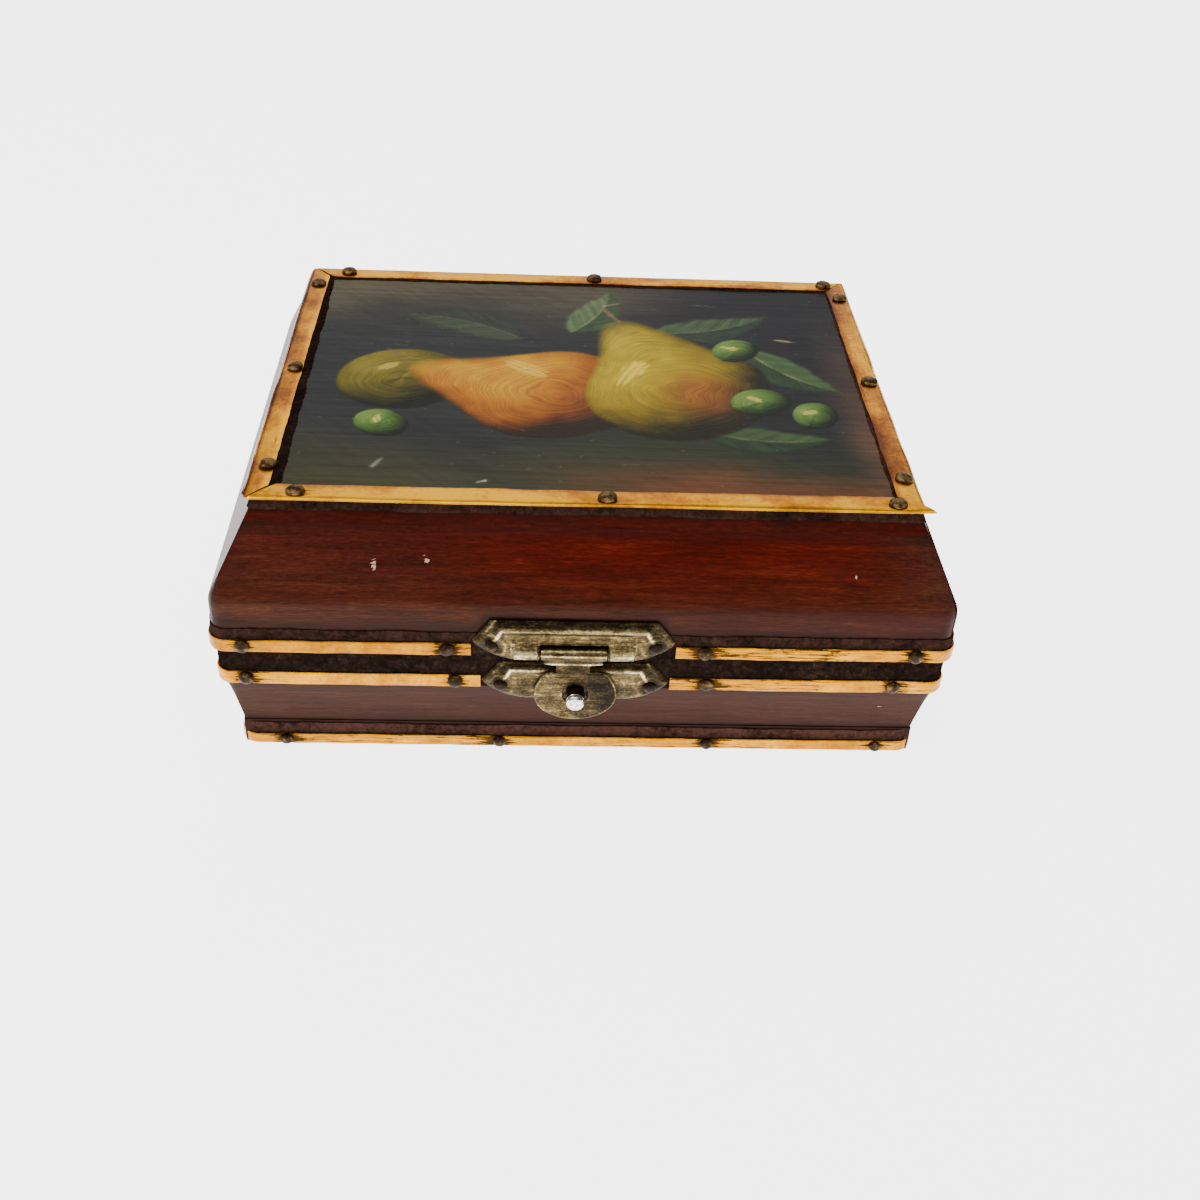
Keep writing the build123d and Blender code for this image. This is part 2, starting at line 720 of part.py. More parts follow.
# Rear hinges: the base leaf has the two outer knuckles and the lid leaf the middle one
knuckle_step = hinge_width / 3
web_reach = hinge_axis_y - hinge_knuckle_radius / 2
for place, hinge_x in (("left", -hinge_spacing / 2), ("right", hinge_spacing / 2)):
    knuckles = {
        "base": [(hinge_x - knuckle_step, taped_base_front, -1), (hinge_x + knuckle_step, taped_base_front, -1)],
        "lid": [(hinge_x, taped_front, 1)],
    }
    leaf_middles = {
        "base": (taped_base_front, base_leaf_top - hinge_leaf_height / 2, base_leaf_seats),
        "lid": (taped_front, lid_leaf_bottom + hinge_leaf_height / 2, lid_leaf_seats),
    }
    for body in ("base", "lid"):
        back_face, leaf_middle, leaf_seats = leaf_middles[body]
        with BuildPart() as leaf_part:
            with BuildSketch(Plane.XZ.offset(-back_face)):
                with Locations((hinge_x, leaf_middle)):
                    Rectangle(hinge_width, hinge_leaf_height)
            extrude(amount=-hinge_thickness)
            for middle, face, side in knuckles[body]:
                web_level = hinge_axis_z + side * (hinge_knuckle_radius - hinge_thickness / 2)
                with BuildSketch(Plane.YZ.offset(middle)):
                    with Locations((hinge_axis_y, hinge_axis_z)):
                        Circle(hinge_knuckle_radius)
                    with Locations(((face + hinge_axis_y) / 2, web_level)):
                        Rectangle(hinge_axis_y - face, hinge_thickness)
                extrude(amount=(knuckle_step - hinge_side_gap) / 2, both=True)
            with BuildSketch(Plane.YZ.offset(hinge_x)):
                with Locations((hinge_axis_y, hinge_axis_z)):
                    Circle(hinge_pin_radius + running_gap)
            extrude(amount=hinge_width, both=True, mode=Mode.SUBTRACT)
            drive(leaf_seats)
        leaf_part.part.label = f"{place}_hinge_{body}_leaf"
        export_step(leaf_part.part, f"parts/{leaf_part.part.label}.step")

    with BuildPart() as hinge_pin:
        with BuildSketch(Plane.YZ.offset(hinge_x)):
            with Locations((hinge_axis_y, hinge_axis_z)):
                Circle(hinge_pin_radius)
        extrude(amount=hinge_width / 2, both=True)
        for hand in (-1, 1):
            with BuildSketch(Plane.YZ.offset(hinge_x + hand * (hinge_width + hinge_pin_head_length) / 2)):
                with Locations((hinge_axis_y, hinge_axis_z)):
                    Circle(hinge_pin_head_radius)
            extrude(amount=hinge_pin_head_length / 2, both=True)
    hinge_pin.part.label = f"{place}_hinge_pin"
    export_step(hinge_pin.part, f"parts/{hinge_pin.part.label}.step")

print("roof leans", round(degrees(atan2(roof_inset, roof_rise)), 1), "degrees from upright")
print("lid hinge axis at y", round(hinge_axis_y, 3), "z", round(hinge_axis_z, 3))
print("hasp axis at x", latch_x, "y", round(-hasp_axis_out, 3), "z", round(hasp_axis_z, 3))
print("pin at z", round(pin_z, 3), "box top at z", round(tape_top + top_strap_thickness, 3))
print("tray", round(tray_width, 2), "x", round(tray_depth, 2), "floor at", round(tray_floor, 2))
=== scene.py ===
# %% [markdown]
# # An old trinket box with nailed brass straps
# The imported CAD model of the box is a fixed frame: boards, straps, latch and hinges at their real size.
# This script dresses it. Each piece is made again as a surface worked out with numpy, with the edges, dents
# and wear of the old box, and takes a finish made of nodes. Pieces ride on the base, the lid or the hasp.

import bpy
import numpy as np
from mathutils import Matrix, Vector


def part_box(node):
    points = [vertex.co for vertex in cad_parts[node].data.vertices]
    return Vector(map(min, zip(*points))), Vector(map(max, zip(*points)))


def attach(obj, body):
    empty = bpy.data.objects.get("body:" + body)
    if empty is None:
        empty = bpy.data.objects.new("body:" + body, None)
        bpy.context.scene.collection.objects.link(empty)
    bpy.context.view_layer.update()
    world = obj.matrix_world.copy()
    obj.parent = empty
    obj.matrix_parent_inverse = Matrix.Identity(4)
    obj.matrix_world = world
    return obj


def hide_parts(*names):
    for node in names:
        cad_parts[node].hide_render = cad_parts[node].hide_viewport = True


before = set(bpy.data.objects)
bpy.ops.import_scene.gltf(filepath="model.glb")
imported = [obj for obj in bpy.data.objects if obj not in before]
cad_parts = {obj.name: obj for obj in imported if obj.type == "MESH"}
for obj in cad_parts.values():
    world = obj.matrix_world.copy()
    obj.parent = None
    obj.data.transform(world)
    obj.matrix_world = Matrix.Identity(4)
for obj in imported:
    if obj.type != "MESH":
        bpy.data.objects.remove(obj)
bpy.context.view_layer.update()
mm = 0.001
print("nodes in the frame:", len(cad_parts))


# %% [markdown]
# ## Sizes
# The frame knows where every board lies, so the sizes below are read from it. Only what a box can't tell,
# such as the height of the upright skirt or the radius of a corner, is written down here.

# %% Read the sizes of the lid
def span(node):
    """Lowest and highest corner of a CAD node, as two arrays in metres."""
    low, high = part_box(node)
    return np.array(low), np.array(high)


half_width = -span("lid_left_board")[0][0]
half_depth = -span("lid_front_board")[0][1]
lid_foot = span("lid_front_board")[0][2]
shoulder, roof_top = (corner[2] for corner in span("lid_top_board"))
skirt_height = 11.2 * mm
skirt_top = lid_foot + skirt_height
roof_slope = (half_width - span("lid_top_board")[1][0]) / (shoulder - skirt_top)
lid_board = 5.0 * mm
lid_radius = 3.0 * mm
print("lid, mm:", np.round([2 * half_width / mm, 2 * half_depth / mm], 1), "slope:", round(roof_slope, 3))

# %% Read the sizes of the base
tape_sheet = 0.5 * mm
rim_half_width, rim_half_depth = span("base_rim_tape")[1][:2] - tape_sheet
rim_foot = span("base_rim_tape")[0][2]
base_top = span("base_front_board")[1][2]
foot_low, foot_top = (corner[2] for corner in span("base_foot_tape"))
foot_inset = rim_half_width - span("base_foot_tape")[1][0] + tape_sheet
tray_half_width = span("base_floor_panel")[1][0]
base_radius = 2.6 * mm
print("foot inset, mm:", round(foot_inset / mm, 2), "base top, mm:", round(base_top / mm, 2))


# %% [markdown]
# ## Surfaces on a grid
# Almost every piece of this box is a profile carried along a path: a board, a tape, a strap. Primitives with
# a bevel would look machined, while a grid of points can waver and dent. Its rows are closed loops, its faces
# join neighbours, and the lengths along it are stored as a UV map for the finishes.

# %% Turn a grid of points into a mesh
def skin(name, points, closed=False, uv=None, marks=None, flat_angle=40.0):
    """Mesh over a grid of points: the face (i, j) joins points (i, j), (i+1, j), (i+1, j+1) and (i, j+1).

    The last column joins the first. A closed grid joins its last row to its first, any other has a cap on
    both. With four axes the first one counts separate grids. The faces are turned outwards where the volume
    that they enclose, the sum of a . (b x c), comes out negative."""
    points = points.reshape((-1,) + points.shape[-3:])
    grids, rows, columns = points.shape[:3]
    index = np.arange(grids * rows * columns).reshape(grids, rows, columns)
    covers = np.concatenate([index[:, 0], index[:, -1, ::-1]])
    if closed:
        index = np.concatenate([index, index[:, :1]], axis=1)
    index = np.concatenate([index, index[:, :, :1]], axis=2)
    quads = np.stack([index[:, :-1, :-1], index[:, 1:, :-1], index[:, 1:, 1:], index[:, :-1, 1:]], axis=-1)
    loops = quads.ravel()
    starts = np.arange(quads.size // 4) * 4
    if not closed:
        starts = np.concatenate([starts, quads.size + np.arange(len(covers)) * columns])
        loops = np.concatenate([loops, covers.ravel()])
    mesh = bpy.data.meshes.new(name)
    mesh.vertices.add(grids * rows * columns)
    mesh.vertices.foreach_set("co", points.reshape(-1).astype(np.float32))
    mesh.loops.add(len(loops))
    mesh.loops.foreach_set("vertex_index", loops.astype(np.int32))
    mesh.polygons.add(len(starts))
    mesh.polygons.foreach_set("loop_start", starts.astype(np.int32))
    mesh.update(calc_edges=True)
    if uv is None:
        across = np.linalg.norm(np.diff(points, axis=2, prepend=points[:, :, :1]), axis=-1).cumsum(axis=2)
        forth = np.linalg.norm(np.diff(points, axis=1, prepend=points[:, :1]), axis=-1).cumsum(axis=1)
        uv = np.stack([forth, across], axis=-1)
    layer = mesh.uv_layers.new(name="length")
    layer.uv.foreach_set("vector", uv.reshape(-1, 2)[loops].reshape(-1).astype(np.float32))
    for title, values in (marks or {}).items():
        attribute = mesh.attributes.new(title, "FLOAT", "POINT")
        values = np.broadcast_to(values, (grids, rows, columns))
        attribute.data.foreach_set("value", values.reshape(-1).astype(np.float32))
    mesh.polygons.foreach_set("use_smooth", np.ones(len(mesh.polygons), bool))
    centred = points.reshape(-1, 3) - points.reshape(-1, 3).mean(axis=0)
    first, second, third, fourth = (centred[quads[..., number].ravel()] for number in range(4))
    volume = np.sum(first * np.cross(second, third)) + np.sum(first * np.cross(third, fourth))
    if volume < 0:
        mesh.flip_normals()
    mesh.set_sharp_from_angle(angle=np.radians(flat_angle))
    piece = bpy.data.objects.new(name, mesh)
    bpy.context.scene.collection.objects.link(piece)
    return piece


# %% Finish a piece
def finish_piece(piece, body, node, material):
    """Let a piece ride on its body, stand for its CAD node and take its finish."""
    piece.data.materials.append(material)
    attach(piece, body)
    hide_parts(node)
    print(piece.name, "has", len(piece.data.polygons), "faces")
    return piece


# %% [markdown]
# ## A rim to walk along
# Boards, tapes and straps all follow the same rectangle with round corners, a little further in or out.
# A walk along it gives, for each distance, the side, the share of its straight stretch, and the turn into
# the corner. From these any nested rectangle can be placed, so layers never cross each other.

# %% Walk round a rectangle with round corners
outward = np.array([[0.0, -1.0], [1.0, 0.0], [0.0, 1.0], [-1.0, 0.0]])
forward = np.array([[1.0, 0.0], [0.0, 1.0], [-1.0, 0.0], [0.0, -1.0]])
side_names = ("front", "right", "back", "left")
sharpest = 0.15 * mm


class Rim:
    """A level rectangle with round corners, walked anticlockwise from the front left corner's middle."""

    def __init__(self, half_width, half_depth, radius):
        self.reaches = np.array([half_depth, half_width, half_depth, half_width])
        self.runs = np.array([half_width, half_depth, half_width, half_depth])
        self.radius = radius
        self.lengths = 2 * (self.runs - radius) + radius * np.pi / 2
        self.starts = np.concatenate([[0.0], np.cumsum(self.lengths)])
        self.length = self.starts[-1]

    def on(self, side, place):
        """Distance of a place on a side, measured along the side from its middle."""
        number = side_names.index(side)
        return self.starts[number] + self.lengths[number] / 2 + place

    def stretch(self, side):
        """Distances at which a side starts and ends, at the middles of its corners."""
        number = side_names.index(side)
        return self.starts[number], self.starts[number + 1]

    def points(self, distance, inset, height):
        """Grid of points: reach - r + r cos(turn) outwards and share (run - r) + r sin(turn) along,
        on the rectangle that lies inset further in, with r shrinking by the inset."""
        distance = np.asarray(distance)[:, None]
        inset = np.broadcast_to(inset, (len(distance), np.shape(inset)[-1]))
        height = np.broadcast_to(height, inset.shape)
        distance = distance - np.floor(distance / self.length) * self.length
        side = np.clip(np.searchsorted(self.starts, distance, side="right") - 1, 0, 3)
        local = distance - self.starts[side] - self.lengths[side] / 2
        straight = self.runs[side] - self.radius
        share = np.clip(local / straight, -1, 1)
        turn = np.sign(local) * np.maximum(np.abs(local) - straight, 0) / self.radius
        radius = np.maximum(self.radius - inset, sharpest)
        across = self.reaches[side] - inset - radius + radius * np.cos(turn)
        along = share * (self.runs[side] - inset - radius) + radius * np.sin(turn)
        flat = outward[side] * across[..., None] + forward[side] * along[..., None]
        return np.concatenate([flat, height[..., None]], axis=-1)


lid_rim = Rim(half_width, half_depth, lid_radius)
base_rim = Rim(rim_half_width, rim_half_depth, base_radius)
print("once round the lid and the base, mm:", np.round([lid_rim.length / mm, base_rim.length / mm], 1))


# %% [markdown]
# ## Chance, but the same each time
# Old work is uneven. Two helpers give smooth random numbers from a fixed seed: one along a line, for
# wavering edges, and one over a plane, for dents and for paint.

# %% Smooth random lines and fields
def waver(distance, wavelength, seed, around=None):
    """Smooth random line between -1 and 1: random knots a wavelength apart, joined by a cosine ease."""
    distance = np.asarray(distance)
    rng = np.random.default_rng(seed)
    if around is None:
        origin = distance.min()
        knots = rng.uniform(-1, 1, int((distance.max() - origin) / wavelength) + 3)
        place = (distance - origin) / wavelength
        first = np.floor(place).astype(int)
        second = first + 1
    else:
        count = max(3, int(round(around / wavelength)))
        knots = rng.uniform(-1, 1, count)
        place = np.mod(distance, around) / around * count
        first = np.floor(place).astype(int) % count
        second = (first + 1) % count
    ease = 0.5 - 0.5 * np.cos(np.pi * (place - np.floor(place)))
    return knots[first] * (1 - ease) + knots[second] * ease


def mottle(x, y, size_x, size_y, seed):
    """Smooth random field between 0 and 1: random values on a lattice, blended by 3t^2 - 2t^3."""
    rng = np.random.default_rng(seed)
    across = (x - x.min()) / size_x
    back = (y - y.min()) / size_y
    lattice = rng.uniform(0, 1, (int(across.max()) + 2, int(back.max()) + 2))
    column = np.floor(across).astype(int)
    row = np.floor(back).astype(int)
    u = across - column
    v = back - row
    u = u * u * (3 - 2 * u)
    v = v * v * (3 - 2 * v)
    near = lattice[column, row] * (1 - u) + lattice[column + 1, row] * u
    far = lattice[column, row + 1] * (1 - u) + lattice[column + 1, row + 1] * u
    return near * (1 - v) + far * v


def ripple(distance, seed, *waves, around=None):
    """Sum of wavers: each wave is a height and a wavelength in mm, with the next seed."""
    return sum(
        height * mm * waver(distance, length * mm, seed + number, around)
        for number, (height, length) in enumerate(waves)
    )


print("a wavering line:", waver(np.linspace(0, 3, 7), 1.0, 1).round(2))


# %% [markdown]
# ## Marks that fade
# Dirt, dents and shine are strongest in one place and fade away from it. They could be painted by hand on
# the mesh, but a formula gives the same marks each time. A bell curve says how near a point is, and a clamp
# keeps a mark between 0 and 1. Marks are stored on the points, and the finishes read them by name.

# %% Fade a mark
def bell(gap, width):
    """exp(-(gap / width)^2): 1 where there is no gap, 0.37 a width away and next to nothing at two."""
    return np.exp(-((gap / width) ** 2))


def clamp(value):
    """Keep a value between 0 and 1."""
    return np.clip(value, 0, 1)


print("a bell at 0, 1 and 2 widths:", bell(np.arange(3), 1).round(2))


# %% [markdown]
# ## Finishes as sums
# A finish is a small sum over the surface: grain plus wear plus dirt. One class stands for a socket, so
# such sums can be written as Python expressions, and each operator adds a Math node. Another class holds a
# material and makes any other node by its type, its settings and its sockets.

# %% Sockets that can be added and multiplied
class Socket:
    """An output socket on which sums, differences and products can be written."""

    def __init__(self, finish, output):
        self.finish = finish
        self.output = output

    def apply(self, operation, first, second):
        return self.finish.node("ShaderNodeMath", {"operation": operation}, {0: first, 1: second})

    def __add__(self, other):
        return self.apply("ADD", self, other)

    def __sub__(self, other):
        return self.apply("SUBTRACT", self, other)

    def __rsub__(self, other):
        return self.apply("SUBTRACT", other, self)

    def __mul__(self, other):
        return self.apply("MULTIPLY", self, other)

    __radd__ = __add__
    __rmul__ = __mul__


def linear_light(colour):
    """Linear values from a screen's 0 to 255: s / 12.92 in deep shade, ((s + 0.055) / 1.055)^2.4 above it."""
    share = np.clip(colour, 0, 255) / 255
    return np.where(share <= 0.04045, share / 12.92, ((share + 0.055) / 1.055) ** 2.4)


def tone(red, green, blue):
    """Colour of a socket from the 0 to 255 values that a screen shows."""
    return (*linear_light([red, green, blue]).tolist(), 1.0)


print("a warm brown:", np.round(tone(120, 70, 40), 3))


# %% Make any node with one method
class Finish:
    """A material whose nodes are written as expressions."""

    def __init__(self, name):
        self.material = bpy.data.materials.new(name)
        self.material.use_nodes = True
        self.tree = self.material.node_tree
        self.shader = self.tree.nodes["Principled BSDF"]

    def node(self, kind, settings=None, sockets=None, output=0):
        """Add a node: settings first, then the values or links of its sockets; returns one output."""
        made = self.tree.nodes.new(kind)
        for title, value in (settings or {}).items():
            if title == "stops":
                ramp = made.color_ramp
                while len(ramp.elements) < len(value):
                    ramp.elements.new(0.5)
                for element, (place, colour) in zip(ramp.elements, value):
                    element.position = place
                    element.color = colour
            else:
                setattr(made, title, value)
        for key, value in (sockets or {}).items():
            self.feed(made.inputs[key], value)
        return Socket(self, made.outputs[output])

    def feed(self, target, value):
        """Link a socket, or set its value."""
        if isinstance(value, Socket):
            self.tree.links.new(value.output, target)
        else:
            target.default_value = value

    def mark(self, title):
        """A number stored on the points of the mesh."""
        return self.node("ShaderNodeAttribute", {"attribute_name": title}, output=2)

    def lengths(self, scale=(1.0, 1.0, 1.0)):
        """Place on the surface in metres from the piece's own UV map, stretched for grain."""
        place = self.node("ShaderNodeUVMap", {"uv_map": "length"})
        return self.node("ShaderNodeMapping", {}, {"Vector": place, "Scale": scale})

    def place(self, scale=(1.0, 1.0, 1.0)):
        """Place in the object in metres, stretched for grain."""
        spot = self.node("ShaderNodeTexCoord", {}, output=3)
        return self.node("ShaderNodeMapping", {}, {"Vector": spot, "Scale": scale})

    def noise(self, vector, scale, detail, roughness, distortion=0.0):
        """Cloudy noise between 0 and 1."""
        sockets = {"Vector": vector, "Scale": scale, "Detail": detail, "Roughness": roughness}
        return self.node("ShaderNodeTexNoise", {}, sockets | {"Distortion": distortion})

    def grain(self, along, across, detail, roughness, distortion=0.0):
        """Noise drawn out along the piece, with so many cells to a metre along it and across it."""
        return self.noise(self.lengths((along, across, 1.0)), 1.0, detail, roughness, distortion)

    def above(self, value, low, high):
        """Smooth step: 0 below low, 1 above high."""
        return self.node(
            "ShaderNodeMapRange",
            {"interpolation_type": "SMOOTHSTEP"},
            {"Value": value, "From Min": low, "From Max": high},
        )

    def blend(self, first, second, factor, kind="MIX"):
        """Colour between two colours."""
        settings = {"data_type": "RGBA", "blend_type": kind}
        return self.node("ShaderNodeMix", settings, {"Factor": factor, 6: first, 7: second}, output=2)

    def shades(self, value, stops, depth=1.0):
        """Colour ramp over a value: each stop is a place, red, green and blue, which the depth scales."""
        stops = [(place, tone(*(depth * np.array(colour)))) for place, *colour in stops]
        return self.node("ShaderNodeValToRGB", {"stops": stops}, {"Fac": value})

    def rough_up(self, height, distance, strength=1.0):
        """Bump from a height, with the distance in metres."""
        return self.node("ShaderNodeBump", {}, {"Height": height, "Distance": distance, "Strength": strength})

    def wear(self, **sockets):
        """Set the shader's sockets by name, with underscores for spaces."""
        for title, value in sockets.items():
            self.feed(self.shader.inputs[title.replace("_", " ")], value)
        print("finish", self.material.name, "has", len(self.tree.nodes), "nodes")
        return self.material


# %% [markdown]
# ## Lacquered wood
# The boards are stained a deep red brown and lacquered long ago. The grain runs along each board, so noise
# drawn out along the UV map's first direction makes it. An image of wood would have to be stretched over each
# board, while noise fits any length. Pale chips and specks show where lacquer came off, and dust lies on the
# slope's left third and at its right end. The slope is painted warmer than its ends and the upright faces,
# whose duller, greyer tones paint a pale sheen. The dark tone of dirt also paints shade under the straps,
# under the rim and round the latch.

# %% Make the lacquered wood
def lacquered_wood(name, depth, gloss, chalk):
    """Grain is noise drawn out along the board; chips are the peaks of a finer noise. The depth scales the
    dull tones and the chalk greys them all. The painted warmth mark blends from the dull tones, which paint a
    pale sheen on upright faces, to the warm ones of the lit slope. The grime-and-shade mark darkens with dirt
    and with painted shade."""
    wood = Finish(name)
    streaks = wood.grain(45.0, 760.0, 6.0, 0.66, 0.8)
    fibres = wood.grain(420.0, 3400.0, 4.0, 0.65)
    clouds = wood.grain(30.0, 60.0, 3.0, 0.5)
    flaky = wood.grain(330.0, 520.0, 5.0, 0.62, 0.8) + wood.mark("scuffed") * 0.30
    chips = wood.above(flaky, 0.80, 0.815)
    specks = wood.above(wood.grain(900.0, 1300.0, 3.0, 0.6, 0.6), 0.79, 0.82)
    warmth = wood.mark("warmth")
    tones = streaks * 0.42 + fibres * 0.38 + clouds * 0.20
    dull = wood.shades(
        tones, [(0.34, 24, 9, 4), (0.46, 53, 24, 12), (0.54, 68, 34, 18), (0.68, 96, 57, 34)], depth
    )
    warm = wood.shades(tones, [(0.32, 24, 3, 0), (0.46, 54, 7, 1), (0.54, 70, 11, 2), (0.70, 104, 34, 12)])
    # Painted light: the dull tones paint the pale sheen of upright faces, and the warm ones the lit slope
    colour = wood.blend(wood.blend(dull, warm, warmth), tone(66, 47, 42), chalk)
    dust = wood.above(wood.grain(800.0, 3000.0, 3.0, 0.7), 0.35, 0.75)
    colour = wood.blend(colour, tone(150, 118, 108), dust * (wood.mark("dusty") * 0.05 + 0.006))
    # The dark tone of dirt, which also paints shade under the straps, under the rim and round the latch plate
    dirt_and_shade = wood.mark("grime") * wood.above(clouds + fibres * 0.3, 0.35, 0.75)
    colour = wood.blend(colour, tone(26, 15, 12), dirt_and_shade)
    colour = wood.blend(colour, tone(196, 160, 132), chips * 0.8 + specks * 0.5)
    bump = wood.rough_up(streaks * 0.5 + fibres * 0.5 - chips * 0.8, 0.00012, 0.55)
    rough = 0.30 + fibres * 0.16 + chips * 0.3
    return wood.wear(Base_Color=colour, Roughness=rough, Normal=bump, Specular_IOR_Level=gloss)


lid_wood = lacquered_wood("lacquered_lid_wood", 0.93, 0.05, 0.0)
dull_wood = lacquered_wood("dull_lid_wood", 0.93, 0.0, 0.0)
base_wood = lacquered_wood("lacquered_base_wood", 0.80, 0.03, 0.25)


# %% [markdown]
# ## Boards
# Each side of the lid is one board with an upright skirt, a softened knee and a slope. Its section is drawn
# once, as insets and heights, and walked from the middle of one corner to the middle of the next, where the
# boards meet in a mitre.

# %% Round the corners of a section
def bow(start, bend, end, amount, steps):
    """Points that round off a corner: a quadratic Bezier curve between two points near the bend."""
    start, bend, end = np.array(start), np.array(bend), np.array(end)
    first = bend + (start - bend) * min(1.0, amount / np.linalg.norm(start - bend))
    last = bend + (end - bend) * min(1.0, amount / np.linalg.norm(end - bend))
    t = np.linspace(0, 1, steps)[:, None]
    return (1 - t) ** 2 * first + 2 * t * (1 - t) * bend + t**2 * last


def closed_section(corners, amounts, steps):
    """Section of a board: a closed loop of inset and height, with each corner rounded by its own amount."""
    corners = np.array(corners)
    before = np.roll(corners, 1, axis=0)
    after = np.roll(corners, -1, axis=0)
    return np.vstack([bow(b, c, a, r, steps) for b, c, a, r in zip(before, corners, after, amounts)])


print("rounded corner:", bow((0, 0), (1, 0), (1, 1), 0.5, 3).round(2).tolist())

# %% Mark the wear of a board
scuffs = [
    ("front", -41.0 * mm, 45.0 * mm, 1.8 * mm), ("front", -31.5 * mm, 47.0 * mm, 1.3 * mm),
    ("front", 61.0 * mm, 12.0 * mm, 1.4 * mm), ("front", 52.0 * mm, 45.0 * mm, 0.8 * mm),
    ("left", 21.0 * mm, 44.0 * mm, 2.0 * mm), ("back", -30.0 * mm, 43.0 * mm, 2.0 * mm),
    ("right", -14.0 * mm, 14.0 * mm, 2.0 * mm), ("back", 37.0 * mm, 15.0 * mm, 1.8 * mm),
]


print("scuffs:", len(scuffs))


def scuffing(side, place, section):
    """1 at each scuff of a side, fading round it, over the places along a board and its section's heights."""
    height = section[:, 1]
    mark = np.zeros((len(place), len(section)))
    for scuffed_side, spot, level, size in scuffs:
        if scuffed_side == side and abs(level - height.mean()) < np.ptp(height) / 2:
            gap = np.hypot(place[:, None] - spot, height - level)
            mark = np.maximum(mark, bell(gap, size))
    return mark


def dustiness(share, height):
    """Dust on the slope: over its left third and at its right end, with the share running from -1 to 1."""
    left = 0.7 / (1 + np.exp((share + 0.35) / 0.1))
    right = 1.4 * bell(share - 1.0, 0.14)
    return np.maximum(left, right) * clamp((height - skirt_top) / (4 * mm))


def latch_painted_shadow(x, height):
    """Painted shadow round the latch plate: it fades with the distance from the plate's sides and from its
    top.
    """
    low, high = span("latch_hasp_plate")
    beside = np.abs(x - (low + high)[0] / 2) - (high - low)[0] * 0.44
    return 0.9 * bell(np.hypot(np.maximum(beside, 0), np.maximum(height - high[2], 0)), 1.3 * mm)


# %% Carry a section along a side
board_steps = 181
grain_shift = 0.37


def board(body, rim, side, section, warmth, grime, material):
    """Carry a section along one side of a rim, from mitre to mitre, with a stretch of grain of its own."""
    start, end = rim.stretch(side)
    middle, half = (start + end) / 2, (end - start) / 2
    distance = np.linspace(start, end, board_steps)
    height = section[None, :, 1]
    points = rim.points(distance, section[None, :, 0], height)
    across = np.linalg.norm(np.diff(section, axis=0, prepend=section[:1]), axis=1).cumsum()
    along = (distance + grain_shift * side_names.index(side))[:, None]
    uv = np.stack(np.broadcast_arrays(along, across[None, :]), axis=-1)
    share = ((distance - middle) / half)[:, None]
    dusty = dustiness(share, height)
    marks = {
        "warmth": clamp(warmth(np.abs(share), height) - 0.3 * dusty),
        "grime": grime(np.abs(share), height) + 0.2 * dusty,
        "scuffed": scuffing(side, distance - middle, section),
        "dusty": dusty,
    }
    # On the lid's front: a painted shadow round the latch plate, and the skirt darker and warmer right of the
    # middle
    if side == "front" and body == "lid":
        dark_skirt = clamp((share - 0.1) / 0.3) * clamp((skirt_top - height) / mm + 1)
        dirt_and_shade = np.maximum(latch_painted_shadow(points[..., 0], height), 0.4 * dark_skirt)
        marks["grime"] = np.maximum(marks["grime"], dirt_and_shade)
        marks["warmth"] = clamp(marks["warmth"] + 0.4 * dark_skirt)
    piece = skin(f"{body}_{side}_wood", points, uv=uv, marks=marks)
    return finish_piece(piece, body, f"{body}_{side}_board", material)


# %% Make the boards of the lid
def inset_at(height):
    """Inset of the roof's outer face at a height."""
    return (height - skirt_top) * roof_slope


roof_edge = inset_at(shoulder)
outer_face = [(0.0, lid_foot), (0.0, skirt_top), (roof_edge, shoulder)]
inner_face = [(roof_edge + lid_board, shoulder), (lid_board, skirt_top), (lid_board, lid_foot)]
lid_section = closed_section(outer_face + inner_face, np.array([0.5, 1.5, 0.01, 0.01, 1.0, 0.4]) * mm, 7)
# The slope's two faces get more rows, because the marks need points to lie on
for corner, count in ((14, 34), (7, 18)):
    between = np.linspace(lid_section[corner - 1], lid_section[corner], count)[1:-1]
    lid_section = np.insert(lid_section, corner, between, axis=0)
lid_tape_top = span("lid_rim_tape")[1][2]


def lid_painted_warmth(share, height):
    """Painted warmth: warmest in the middle of the slope, with the dull tones that paint a pale sheen on the
    skirt and towards the ends.
    """
    up_slope = clamp((height - skirt_top) / (shoulder - skirt_top))
    return clamp(0.10 + 1.1 * up_slope**0.45 * (1 - 0.28 * share**2.2))


def lid_grime_and_shade(share, height):
    """Darker above the tape and at the corners, and painted shade under the strap of the roof."""
    above_tape = bell(height - lid_tape_top, 1.7 * mm)
    shade_under_roof = 0.6 * bell(height - shoulder, 1.5 * mm)
    return clamp(above_tape * 0.8 + shade_under_roof + 0.5 * share**40)


for side in side_names:
    wood = dull_wood if side == "right" else lid_wood
    board("lid", lid_rim, side, lid_section, lid_painted_warmth, lid_grime_and_shade, wood)


# %% [markdown]
# The base boards have a foot, a wall that swells out towards the top like a cove, and a rim.

